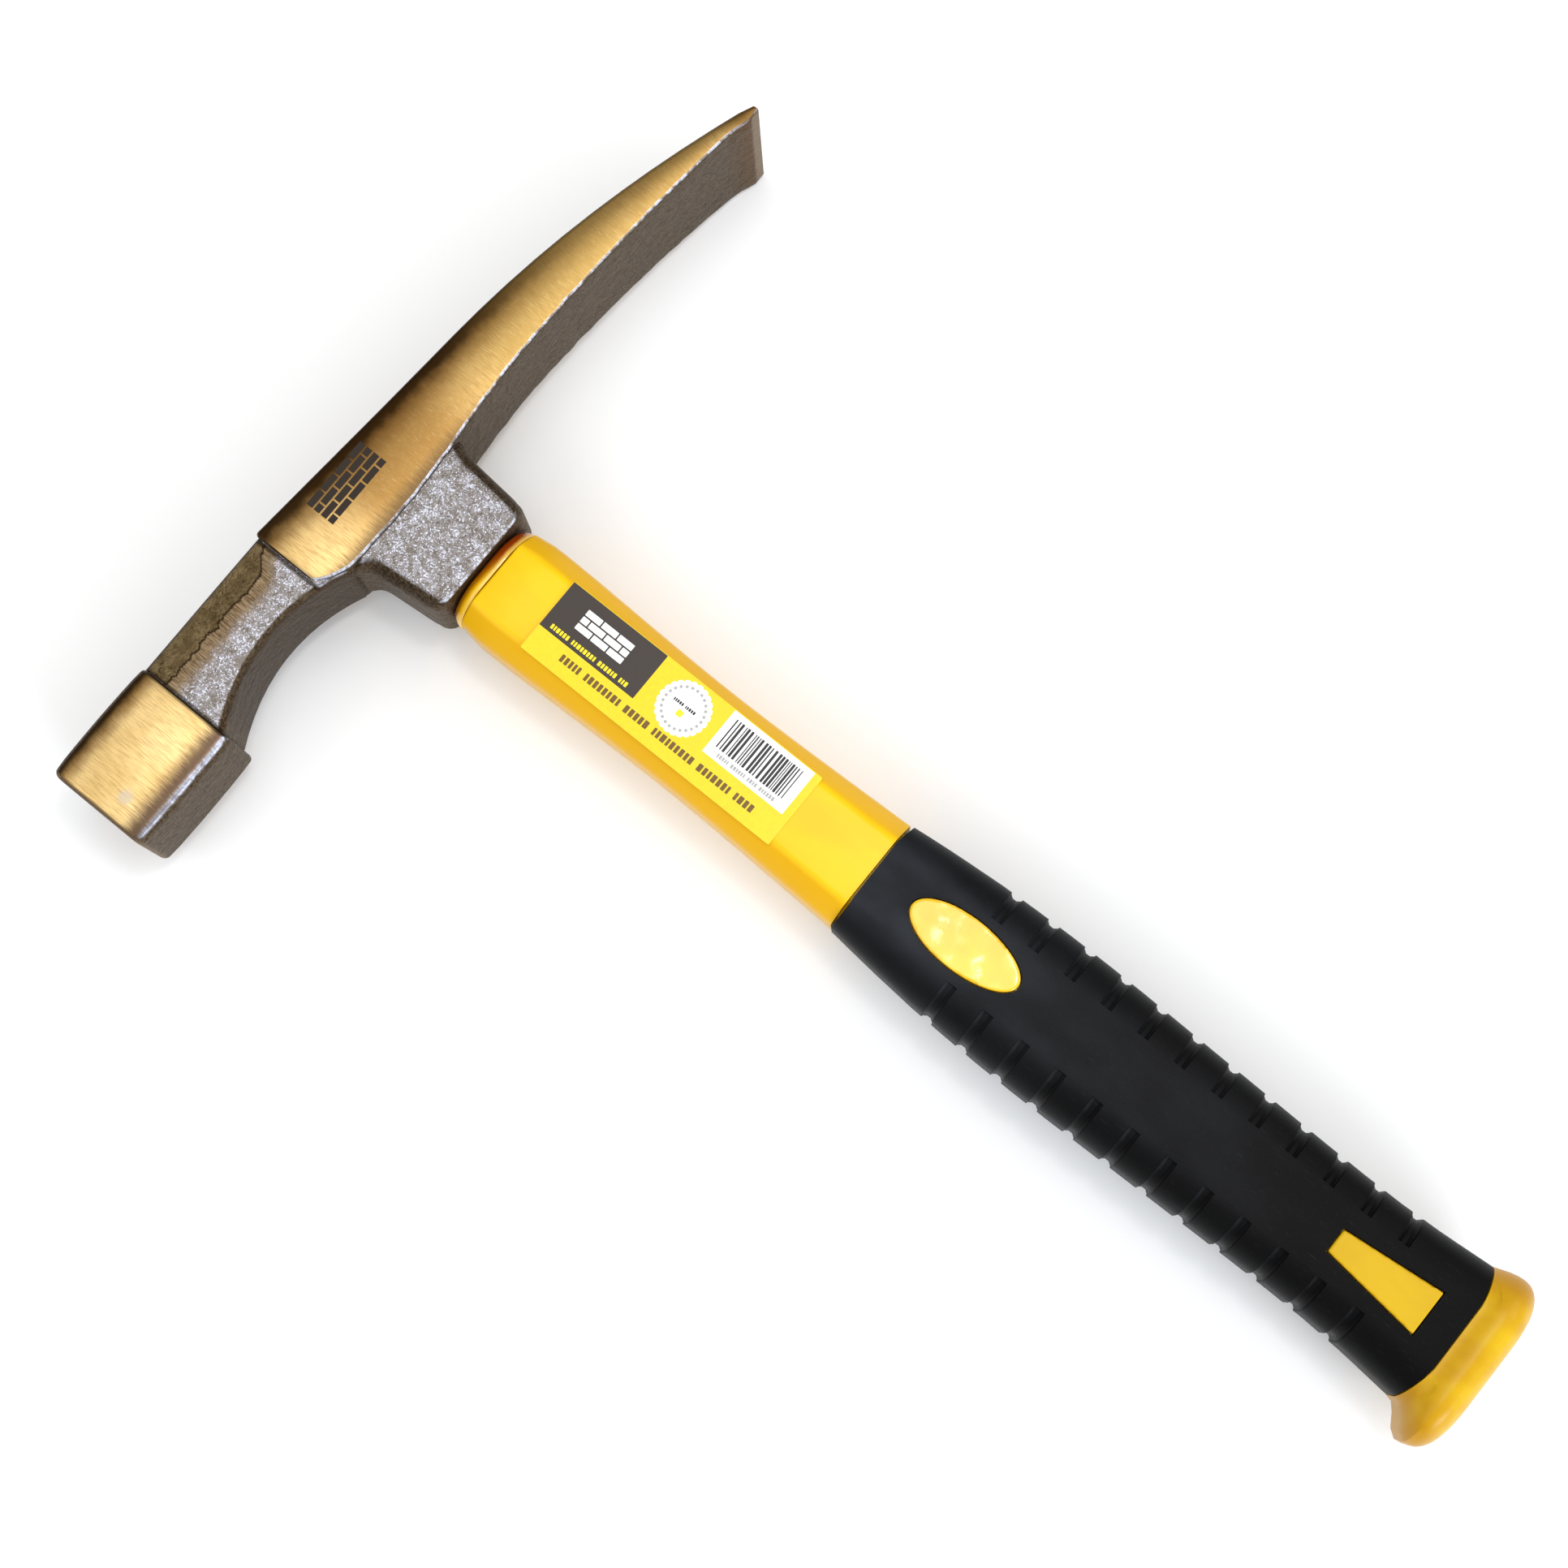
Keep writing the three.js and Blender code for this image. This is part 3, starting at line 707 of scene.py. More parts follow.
def grip_sleeve():
    sleeve = grip_bar("sleeve")
    sleeve = combine(sleeve, notch_cutters(sleeve), "DIFFERENCE")
    sleeve = combine(sleeve, grip_bar("hollow", out=-GRIP_WALL, past=4), "DIFFERENCE")
    for prism in (oval_prism("oval", 0, -FAR, FAR), wedge_prism("wedge", 0, -FAR, FAR)):
        sleeve = combine(sleeve, prism, "DIFFERENCE")
    sleeve.name = "black_grip"
    bow_ring(sleeve, GRIP_END, GRIP_BOW, *grip_sections[-1][1:3])
    wavy = lambda across: 0.5 + 0.5 * math.sin(7.5 * across + 0.6)
    bow_ring(sleeve, grip_stations[0], 0.5, *grip_sections[0][1:3], wavy)
    return smooth(face_outwards(sleeve), 30)


sleeve = grip_sleeve()


# %% [markdown]
# ## Pads and panels
#
# Yellow plastic fills the windows: an egg-shaped pad that stands a little proud, and a flush
# wedge near the butt. A pad's face follows the grip's own surface, so a prism is cut to what
# lies between two bars, one just outside the grip and one at its inner wall. A fine remesh and
# a little smoothing round its edge as a mould would. Each is modelled once, for the flank that
# carries the label, and a mirrored copy fills the window on the other flank.

# %% Pads and panels in the windows
def window_piece(name, prism, proud):
    cover = grip_bar("cover", out=proud)
    seat = grip_bar("seat", out=-GRIP_WALL)
    piece = combine(combine(prism, cover, "INTERSECT"), seat, "DIFFERENCE")
    piece.name = name
    remesh = piece.modifiers.new("remesh", "REMESH")
    remesh.mode = "VOXEL"
    remesh.voxel_size = 0.3 * MM
    soften = piece.modifiers.new("soften", "SMOOTH")
    soften.factor = 0.5
    soften.iterations = 6
    apply_modifiers(piece)
    return smooth(piece, 60)


def other_flank(piece, name):
    """A copy with a mesh of its own, mirrored to the far flank of the hammer."""
    clear_selection()
    bpy.context.view_layer.objects.active = piece
    piece.select_set(True)
    bpy.ops.object.duplicate()
    copy = bpy.context.object
    copy.name = name
    edit(copy)
    bpy.ops.mesh.select_all(action="SELECT")
    bpy.ops.transform.resize(value=(1, 1, -1), center_override=spot(0))
    bpy.ops.mesh.normals_make_consistent(inside=False)
    clear_selection()
    print(name, "mirrored from", piece.name)
    return copy


oval = window_piece("oval_right", oval_prism("pad", BOND, 0, FAR), OVAL["proud"])
wedge = window_piece("wedge_right", wedge_prism("panel", BOND, 0, FAR), WEDGE["proud"])
windows = {
    "oval_pad_right": oval,
    "oval_pad_left": other_flank(oval, "oval_left"),
    "wedge_panel_right": wedge,
    "wedge_panel_left": other_flank(wedge, "wedge_left"),
}

# %% [markdown]
# ## The butt cap
#
# An ochre cap closes the end of the grip. It flares into a lip that keeps the hand from slipping
# off, and ends in a low dome. Its mouth bows with the grip's end, so the joint shows as a curve
# on each flank. The same growing bar makes it, and a pocket is cut for the end of the jacket.

# %% Butt cap
CAP_SIDE_LIP = 1.5


def butt_cap():
    lip = BUTT_START + (BUTT_END - BUTT_START) * 0.54
    sections = []
    for t in spaced(0, 1, 9):
        place = BUTT_START + (lip - BUTT_START) * t
        low = probe("butt_cap", (max(place, BUTT_START + 0.02), -FAR, 0), (0, 1, 0))[1]
        high = probe("butt_cap", (max(place, BUTT_START + 0.02), FAR, 0), (0, -1, 0))[1]
        half = grip_sections[-1][3] + CAP_SIDE_LIP * math.sin(math.pi / 2 * t) ** 1.6
        sections.append((place, low, high, half))
    widest = sections[-1]
    dome = []
    for t in (0.25, 0.45, 0.62, 0.76, 0.87, 0.94, 0.985, 1.0):
        inset = 8.5 * (1 - math.sqrt(max(0.0, 1 - t**2.2)))
        place = lip + (BUTT_END - lip) * t
        dome.append((place, widest[1] + inset, widest[2] - inset, widest[3] - inset))
    cap = grow("cap", "X", sections + dome, rounding=[(8.5, 10)])
    pocket_end = reach("handle_jacket", 1) + BOND
    inner = handle_section("handle_jacket", BUTT_START + 3, grow_by=BOND)
    pocket = [(BUTT_START - 3, *inner[1:]), (pocket_end, *inner[1:])]
    cap = combine(cap, grow("pocket", "X", pocket, rounding=[(4.5, 6)]), "DIFFERENCE")
    cap.name = "butt"
    for t, section in zip(spaced(0, 1, 9), sections[:-1]):
        bow_ring(cap, section[0], GRIP_BOW * (1 - t), section[1], section[2])
    return smooth(face_outwards(cap), 35)


cap = butt_cap()

# %% [markdown]
# ## Bead and resin
#
# The head is potted: resin poured in at the crown locks the core in the eye, and a bead of
# amber seals the joint below the head while it sets. Both are oval rods round the core. The
# bead swells toward the jacket, and the resin sinks a little in the eye, as cast resin does.

# %% Amber bead and eye resin
def amber_bead():
    start, end = reach("rim_seal", -1), reach("rim_seal", 1)
    out = EYE_WALL + 1.4
    swell = [(0, -0.5), (0.12, -0.1), (0.35, 0.2), (0.6, 0.45), (0.85, 0.6), (1, 0.5)]
    bead = oval_rod("bead", [(start + (end - start) * t, out + more) for t, more in swell])
    bead = combine(bead, oval_rod("bore", [(start - 5, BOND), (end + 5, BOND)]), "DIFFERENCE")
    return smooth(face_outwards(bead), 40)


def eye_resin():
    start = reach("eye_resin", -1)
    out = EYE_WALL - BOND
    cast = oval_rod("resin", [(start, out), (RIM, out)])
    edit(cast)
    for narrower, dish in ((0.95, 0.3), (0.9, 0.25), (0.8, 0.2)):
        pick(cast, "FACE", lambda f: f.normal.x < -0.99 and len(f.verts) > 8)
        bpy.ops.mesh.extrude_region_move(TRANSFORM_OT_translate={"value": (0, 0, 0)})
        bpy.ops.transform.resize(value=(1, narrower, narrower), center_override=spot(start))
        bpy.ops.transform.translate(value=(dish * MM, 0, 0))
    clear_selection()
    core_top = reach("fibreglass_core", -1)
    hollow = oval_rod("hollow", [(core_top - BOND, BOND), (RIM + 5, BOND)])
    return smooth(face_outwards(combine(cast, hollow, "DIFFERENCE")), 40)


bead = amber_bead()
resin = eye_resin()

# %% [markdown]
# ## The label
#
# The label is a thin film on the flat flank of the jacket, with its corners cut round so that
# they don't lift. A cube set to the film's measured size has its four upright edges bevelled.
# Its print is modelled further on, with the finishes.

# %% Label
label_low, label_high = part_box("label")
FILM_CORNER = 0.35
upright = lambda edge: abs((edge.verts[1].co - edge.verts[0].co).normalized().z) > 0.9


def label_sheet():
    clear_selection()
    bpy.ops.mesh.primitive_cube_add(size=1, location=(label_low + label_high) / 2)
    sheet = bpy.context.object
    sheet.name = "label_film"
    sheet.scale = label_high - label_low
    bpy.ops.object.transform_apply(location=True, rotation=False, scale=True)
    edit(sheet)
    pick(sheet, "EDGE", upright)
    bpy.ops.mesh.bevel(offset=FILM_CORNER * MM, segments=4)
    clear_selection()
    print("the label is", [round(size / MM, 2) for size in sheet.dimensions], "mm")
    return sheet


label = label_sheet()

# %% [markdown]
# ## Finishes
#
# All finishes are worked out from the hammer's own millimetres, so the width of a grinding
# stroke and the size of a blasting pit can be set as they are on the real tool. `put` adds a
# shader node and wires it, `maths` adds a sum, `band` runs softly from one value to another,
# and `hammer_mm` gives the place on the hammer as down, along and across.

# %% Shader helpers
def put(tree, kind, settings=None, inputs=None):
    node = tree.nodes.new("ShaderNode" + kind)
    for key, value in (settings or {}).items():
        setattr(node, key, value)
    for key, value in (inputs or {}).items():
        wire(tree, node.inputs[key], value)
    return node


def wire(tree, socket, value):
    if isinstance(value, bpy.types.NodeSocket):
        tree.links.new(value, socket)
    elif socket.type == "RGBA" and len(value) == 3:
        socket.default_value = (*value, 1)
    else:
        socket.default_value = value


def maths(tree, operation, *values):
    node = put(tree, "Math", {"operation": operation})
    for socket, value in zip(node.inputs, values):
        wire(tree, socket, value)
    return node.outputs[0]


def times(tree, first, second):
    return maths(tree, "MULTIPLY", first, second)


def blend(tree, amount, first, second):
    node = put(tree, "Mix", {"data_type": "RGBA", "blend_type": "MIX"})
    wire(tree, node.inputs[0], amount)
    wire(tree, node.inputs[6], first)
    wire(tree, node.inputs[7], second)
    return node.outputs[2]


def band(tree, value, start, end, low=0.0, high=1.0):
    """Runs softly from low at start to high at end."""
    settings = {"interpolation_type": "SMOOTHSTEP"}
    node = put(tree, "MapRange", settings, {0: value, 1: start, 2: end, 3: low, 4: high})
    return node.outputs[0]


def hammer_mm(tree):
    place = put(tree, "TexCoord").outputs["Object"]
    origin = [-c / MM for c in spot(0)]
    scaled = put(tree, "Mapping", None, {0: place, 1: origin, 3: (1 / MM,) * 3}).outputs[0]
    parts = put(tree, "SeparateXYZ", None, {0: scaled}).outputs
    return scaled, parts[0], parts[1], parts[2]


def grain(tree, place, per_mm, detail=3.0, rough=0.55):
    """Noise with a size per axis: per_mm says how many grains there are on a millimetre."""
    stretched = put(tree, "Mapping", None, {0: place, 3: per_mm}).outputs[0]
    inputs = {"Vector": stretched, "Scale": 1.0, "Detail": detail, "Roughness": rough}
    return put(tree, "TexNoise", None, inputs).outputs[0]


def bumped(tree, height, depth_mm, under=None):
    inputs = {"Height": height, "Distance": depth_mm * MM, "Strength": 1.0}
    if under is not None:
        inputs["Normal"] = under
    return put(tree, "Bump", None, inputs).outputs[0]


def finish(name):
    material = bpy.data.materials.new(name)
    material.use_nodes = True
    tree = material.node_tree
    return material, tree, tree.nodes["Principled BSDF"]


def dress(piece, material):
    piece.data.materials.clear()
    piece.data.materials.append(material)


def srgb(red, green, blue):
    """A colour given as 0 to 255, made linear for the shader."""
    linear = lambda c: c / 12.92 if c <= 0.04045 else ((c + 0.055) / 1.055) ** 2.4
    return tuple(linear(c / 255) for c in (red, green, blue))


# %% [markdown]
# ## Steel
#
# The head shows four treatments. The flanks of the poll and the blade are ground, with strokes
# that run down the hammer and a straw tint. The rest is shot-blasted: a grey skin with painted
# glints, and painted shade underneath. On the neck a rough brown forging skin is left above a dark
# flash line, and a brown trimmed band lies below that. Painting them on an image would need an
# unwrapped mesh. Painted shade and painted highlights lie over them along the edges.
# Here the way a face looks and its place choose the treatment, so the cells below work out
# those fields once, give each treatment its own function, and then lay them over each other.

# %% What the steel's treatments read
GROUND_ABOVE = 11.7  # mm from the mid-plane: the ground flanks stand proud of the neck


def steel_fields(tree):
    place, down, along, across = hammer_mm(tree)
    normal = put(tree, "TexCoord").outputs["Normal"]
    facing = put(tree, "SeparateXYZ", None, {0: normal}).outputs
    up = maths(tree, "ABSOLUTE", facing[2])
    height = maths(tree, "ABSOLUTE", across)
    flank = band(tree, up, 0.72, 0.86)
    on_poll = band(tree, along, -60.7, -61.0)
    on_blade = band(tree, along, -25.7, -25.3)
    ends = maths(tree, "MAXIMUM", on_poll, on_blade)
    on_flank = times(tree, band(tree, height, GROUND_ABOVE, GROUND_ABOVE + 0.1), flank)
    return SimpleNamespace(
        place=place,
        down=down,
        along=along,
        height=height,
        up=up,
        toward_grip=facing[0],
        flank=flank,
        on_blade=on_blade,
        ends=ends,
        ground=times(tree, on_flank, ends),
        poll_side=band(tree, along, -40, -42),
        strokes=grain(tree, place, (0.3, 4.2, 0.3), 4, 0.65),
        fine=grain(tree, place, (0.5, 11.0, 0.5), 2, 0.5),
        patches=grain(tree, place, (0.12, 0.08, 0.1), 2, 0.5),
        pits=grain(tree, place, (1.7, 1.7, 1.7), 3, 0.6),
        sparkle=grain(tree, place, (3.0, 3.0, 3.0), 2, 0.6),
        blotches=grain(tree, place, (0.35, 0.35, 0.35), 3, 0.6),
    )


# %% Ground flanks, straw where they are bright
def ground_straw(tree, steel):
    along, strokes, fine = steel.along, steel.strokes, steel.fine
    patchy = band(tree, steel.patches, 0.3, 0.7)
    straw = blend(tree, patchy, srgb(216, 183, 120), srgb(234, 203, 142))
    straw = blend(tree, times(tree, steel.on_blade, 0.6), straw, srgb(196, 164, 106))
    cheek = times(tree, band(tree, along, -20, 0), band(tree, along, 40, 14))
    straw = blend(tree, times(tree, cheek, 0.95), straw, srgb(140, 106, 56))
    straw = blend(tree, band(tree, along, 14, 40, 0.0, 0.9), straw, srgb(154, 126, 70))
    straw = blend(tree, band(tree, strokes, 0.42, 0.66, 0.0, 0.45), straw, srgb(150, 112, 62))
    # Fine grinding scratches, painted lighter as glints.
    return blend(tree, band(tree, fine, 0.58, 0.72, 0.0, 0.2), straw, srgb(250, 232, 190))


# %% Painted shade under the crown, where the rounded edge would reflect dark surroundings; it follows the blade as it droops
def painted_crown_shade(tree, steel, straw):
    crown_line = maths(tree, "MULTIPLY_ADD", steel.along, 0.078, 1.87)
    beyond = maths(tree, "MAXIMUM", maths(tree, "SUBTRACT", steel.along, 33.0), 0.0)
    droop = times(tree, maths(tree, "POWER", beyond, 2.0), 0.00213)
    depth = maths(tree, "SUBTRACT", steel.down, maths(tree, "ADD", crown_line, droop))
    depth = blend(tree, steel.poll_side, depth, times(tree, steel.down, 1.4))
    depth = maths(tree, "ADD", depth, maths(tree, "MULTIPLY_ADD", steel.blotches, 2.4, -1.2))
    fade = band(tree, steel.along, 70, 25, 0.25, 1.0)
    # Painted shade: the crown's rounded edge would mirror dark surroundings, so it is darkened towards
    # the crown.
    brown = times(tree, band(tree, depth, 8.5, 3.4, 0.0, 0.8), fade)
    straw = blend(tree, brown, straw, srgb(112, 78, 38))
    deep_crown_shade = times(tree, band(tree, depth, 4.8, 1.6, 0.0, 0.95), fade)
    return blend(tree, deep_crown_shade, straw, srgb(44, 28, 12))


# %% Painted shade along the lower edges, a painted feathered highlight and one scuff
def edge_shade_and_scuff(tree, steel, straw):
    poll_side, down = steel.poll_side, steel.down
    ragged_depth = maths(tree, "MULTIPLY_ADD", steel.strokes, 3.0, down)
    # Painted shade along the blade's belly and the poll's lower edge, where the rounded edges would
    # reflect dark surroundings.
    belly_shade = times(tree, steel.on_blade, band(tree, steel.along, 36, 14))
    belly_shade = times(tree, belly_shade, band(tree, ragged_depth, 17.6, 21.4, 0.0, 0.8))
    straw = blend(tree, belly_shade, straw, srgb(84, 68, 50))
    low_edge_shade = times(tree, poll_side, band(tree, ragged_depth, 18.6, 23.2, 0.0, 0.95))
    straw = blend(tree, low_edge_shade, straw, srgb(84, 66, 56))
    # A painted highlight feathered up from the poll's lower edge; the scuff below is real wear.
    feathered_highlight = maths(tree, "MULTIPLY_ADD", steel.strokes, 2.4, down)
    feathered_highlight = times(tree, poll_side, band(tree, feathered_highlight, 23.4, 24.9, 0.0, 0.6))
    straw = blend(tree, feathered_highlight, straw, srgb(186, 186, 198))
    from_scuff = {0: steel.place, 1: (15.5, -83.5, 12.4)}
    scuff = put(tree, "VectorMath", {"operation": "DISTANCE"}, from_scuff).outputs["Value"]
    scuff = maths(tree, "MULTIPLY_ADD", steel.sparkle, -3.0, scuff)
    return blend(tree, band(tree, scuff, 0.6, -0.6, 0.0, 0.6), straw, srgb(176, 170, 160))


# %% Shot-blasted skin with painted glints, and painted shade on the sides that see only the floor
def blasted_skin_and_shade(tree, steel):
    pits, up = steel.pits, steel.up
    patchy = band(tree, steel.blotches, 0.35, 0.65)
    blasted = blend(tree, patchy, srgb(136, 128, 120), srgb(166, 162, 162))
    blasted = blend(tree, band(tree, pits, 0.5, 0.36, 0.0, 0.7), blasted, srgb(100, 90, 80))
    # Near-white specks painted in as the blasted skin's glints.
    painted_glints = maths(tree, "MULTIPLY_ADD", steel.blotches, 0.3, steel.sparkle)
    blasted = blend(tree, band(tree, painted_glints, 0.68, 0.8, 0.0, 0.9), blasted, srgb(232, 234, 250))
    # Painted shade on the sides turned from the flank, on the rounded edges and in the arch.
    side = blend(tree, band(tree, pits, 0.35, 0.65), srgb(64, 52, 38), srgb(98, 82, 62))
    edge = blend(tree, band(tree, pits, 0.4, 0.6), srgb(60, 48, 34), srgb(92, 78, 62))
    arch_shade = times(tree, band(tree, steel.along, -60, -56), band(tree, steel.along, -17, -21))
    side = blend(tree, times(tree, arch_shade, 0.55), side, srgb(60, 48, 38))
    side = blend(tree, band(tree, up, 0.35, 0.7), side, edge)
    return blend(tree, band(tree, up, 0.84, 0.985), side, blasted)


# %% Where the neck is, and how far a point lies below its flash line
def neck_fields(tree, steel):
    rise = band(tree, steel.along, -31.5, -26.0, 0.0, -3.2)
    ripple = grain(tree, steel.place, (0.01, 0.3, 0.01), 5, 0.75)
    wave = maths(tree, "MULTIPLY_ADD", ripple, 3.6, 4.55)
    flash = maths(tree, "SUBTRACT", steel.down, maths(tree, "ADD", wave, rise))
    neck = times(tree, band(tree, steel.along, -61.0, -60.7), band(tree, steel.along, -25.3, -25.7))
    return times(tree, neck, steel.flank), flash


# %% Forging skin, flash line and trimmed band
def neck_tones(tree, steel, flash, blasted):
    skin = blend(tree, band(tree, steel.blotches, 0.35, 0.65), srgb(108, 90, 60), srgb(138, 118, 84))
    skin = blend(tree, band(tree, steel.pits, 0.47, 0.34, 0.0, 0.6), skin, srgb(66, 52, 32))
    trimming = band(tree, grain(tree, steel.place, (0.5, 4.5, 0.3), 3, 0.6), 0.35, 0.65)
    trimmed = blend(tree, trimming, srgb(104, 84, 60), srgb(158, 136, 106))
    tone = blend(tree, band(tree, flash, 1.6, 5.6), trimmed, blasted)
    tone = blend(tree, band(tree, flash, -0.1, 0.1), skin, tone)
    line = maths(tree, "SUBTRACT", 1.0, band(tree, maths(tree, "ABSOLUTE", flash), 0.1, 0.42))
    return blend(tree, times(tree, line, 0.85), tone, srgb(38, 24, 12))


# %% Painted highlights on the lower edges, painted shade in the steps at both ends of the neck
def painted_edge_highlight(tree, steel, tone):
    turned = steel.toward_grip
    # Painted highlight: the rounded lower edges would mirror the bluish lamp by the handle.
    blade_edge_highlight = times(tree, band(tree, turned, 0.16, 0.35), band(tree, turned, 0.92, 0.7))
    poll_edge_highlight = times(tree, band(tree, turned, 0.2, 0.4), band(tree, turned, 0.8, 0.6))
    edge_highlight = blend(tree, steel.poll_side, blade_edge_highlight, poll_edge_highlight)
    edge_highlight = times(tree, edge_highlight, times(tree, steel.ends, band(tree, steel.height, 10.6, 11.2)))
    edge_highlight = times(tree, edge_highlight, band(tree, steel.strokes, 0.34, 0.5, 0.35, 1.0))
    chips = grain(tree, steel.place, (0.45, 0.45, 0.45), 3, 0.7)
    edge_highlight = times(tree, edge_highlight, band(tree, chips, 0.4, 0.58, 0.15, 0.8))
    edge_highlight = times(tree, edge_highlight, band(tree, steel.along, -89, -68, 0.3, 1.0))
    return blend(tree, edge_highlight, tone, srgb(226, 230, 246))


def painted_step_shade(tree, steel, tone):
    """The neck's ends are equally far from its middle, so one distance finds both."""
    from_middle = maths(tree, "ABSOLUTE", maths(tree, "ADD", steel.along, 43.3))
    from_step = maths(tree, "ABSOLUTE", maths(tree, "SUBTRACT", from_middle, 17.6))
    # Painted shade in the crease where the ground flank stands proud of the neck.
    step = band(tree, from_step, 0.9, 0.2, 0.0, 0.8)
    step = times(tree, step, band(tree, steel.up, 0.3, 0.6))
    return blend(tree, step, tone, srgb(40, 28, 16))


# %% The blade's tip and the striking face
def toned_ends(tree, steel, tone):
    along = steel.along
    # Lighter on the tip's end face, darker towards the tip, and duller on the striking face.
    tip = times(tree, band(tree, along, 107.2, 107.8), band(tree, steel.up, 0.6, 0.4))
    tone = blend(tree, times(tree, tip, 0.8), tone, srgb(188, 176, 156))
    tone = blend(tree, band(tree, along, 99, 108, 0.0, 0.7), tone, srgb(92, 64, 30))
    face = band(tree, along, -87.9, -88.7)
    return blend(tree, times(tree, face, 0.7), tone, srgb(120, 98, 72))


# %% Blasting pits, forging scale and grinding strokes as relief
def steel_relief(tree, steel, neck, flash):
    blast = bumped(tree, maths(tree, "ADD", steel.pits, steel.sparkle), 0.17)
    wire(tree, blast.node.inputs["Strength"], maths(tree, "SUBTRACT", 1.0, steel.ground))
    scale = bumped(tree, steel.blotches, 0.9, blast)
    wire(tree, scale.node.inputs["Strength"], band(tree, steel.up, 0.6, 0.3))
    stroke_height = maths(tree, "ADD", steel.strokes, times(tree, steel.fine, 0.4))
    ground = bumped(tree, stroke_height, 0.025, scale)
    wire(tree, ground.node.inputs["Strength"], steel.ground)
    skin = bumped(tree, maths(tree, "ADD", steel.blotches, steel.pits), 0.6, ground)
    wire(tree, skin.node.inputs["Strength"], times(tree, neck, band(tree, flash, 0.3, -0.3)))
    return skin


# %% Forged steel
def forged_steel():
    material, tree, shader = finish("forged_steel")
    steel = steel_fields(tree)
    neck, flash = neck_fields(tree, steel)
    straw = edge_shade_and_scuff(tree, steel, painted_crown_shade(tree, steel, ground_straw(tree, steel)))
    blasted = blasted_skin_and_shade(tree, steel)
    tone = blend(tree, neck, blasted, neck_tones(tree, steel, flash, blasted))
    tone = blend(tree, steel.ground, tone, straw)
    tone = painted_step_shade(tree, steel, painted_edge_highlight(tree, steel, tone))
    wire(tree, shader.inputs["Base Color"], toned_ends(tree, steel, tone))
    shader.inputs["Metallic"].default_value = 1.0
    polished = maths(tree, "MULTIPLY_ADD", steel.strokes, 0.25, 0.24)
    rough = maths(tree, "MULTIPLY_ADD", steel.sparkle, -0.4, 0.7)
    wire(tree, shader.inputs["Roughness"], blend(tree, steel.ground, rough, polished))
    wire(tree, shader.inputs["Normal"], steel_relief(tree, steel, neck, flash))
    print("the steel's finish has", len(tree.nodes), "shader nodes")
    return material


dress(head, forged_steel())


# %% [markdown]
# ## Plastics, rubber and resin
#
# The yellow mouldings are glossy with a faint orange-peel surface. The grip is a satin rubber
# with a fine grain, a painted sheen at its front and painted shade on its edges. Resin and bead
# are amber, darker where they are thick. One plain colour would look like a toy, so each gets a
# slow cloud of two tones, a fine relief and some scuffs, and the sides that turn away from the
# flank get painted shade.

# %% Moulded plastics
def moulded(name, light, dark, roughness, peel_mm, coat=0.0, lumps=0.0, shine=0.25):
    material, tree, shader = finish(name)
    place = hammer_mm(tree)[0]
    facing = put(tree, "SeparateXYZ", None, {0: put(tree, "TexCoord").outputs["Normal"]}).outputs
    cloud = grain(tree, place, (0.06, 0.12, 0.12), 3, 0.5)
    peel = grain(tree, place, (0.9, 0.9, 0.9), 2, 0.5)
    scuffs = grain(tree, place, (0.5, 6.0, 6.0), 2, 0.6)
    tone = blend(tree, band(tree, cloud, 0.3, 0.7), dark, light)
    # Painted shade on the sides turned towards the poll and towards the blade.
    painted_side_shade = tuple(c * k for c, k in zip(dark, (0.82, 0.72, 0.6)))
    tone = blend(tree, band(tree, facing[1], -0.15, -0.75, 0.0, 0.85), tone, painted_side_shade)
    tone = blend(tree, band(tree, facing[1], 0.2, 0.8, 0.0, 0.8), tone, painted_side_shade)
    wire(tree, shader.inputs["Base Color"], tone)
    shader.inputs["Specular IOR Level"].default_value = shine
    rough = maths(tree, "MULTIPLY_ADD", band(tree, scuffs, 0.55, 0.75), 0.12, roughness)
    wire(tree, shader.inputs["Roughness"], rough)
    shader.inputs["Coat Weight"].default_value = coat
    shader.inputs["Coat Roughness"].default_value = 0.08
    normal = bumped(tree, peel, peel_mm)
    if lumps:
        normal = bumped(tree, grain(tree, place, (0.13, 0.13, 0.13), 1, 0.4), lumps, normal)
    wire(tree, shader.inputs["Normal"], normal)
    return material


dress(jacket, moulded("yellow_jacket", srgb(248, 202, 2), srgb(243, 192, 0), 0.3, 0.012))
dress(cap, moulded("ochre_cap", srgb(212, 170, 2), srgb(196, 146, 0), 0.36, 0.02, 0.0, 0.12))
oval_yellow = moulded("oval_yellow", srgb(250, 205, 4), srgb(240, 188, 0), 0.16, 0.03, 0.6, 0.9, 0.5)
wedge_yellow = moulded("wedge_yellow", srgb(212, 172, 2), srgb(204, 162, 0), 0.45, 0.02, 0.0, 0.1)
for node, piece in windows.items():
    dress(piece, oval_yellow if node.startswith("oval") else wedge_yellow)


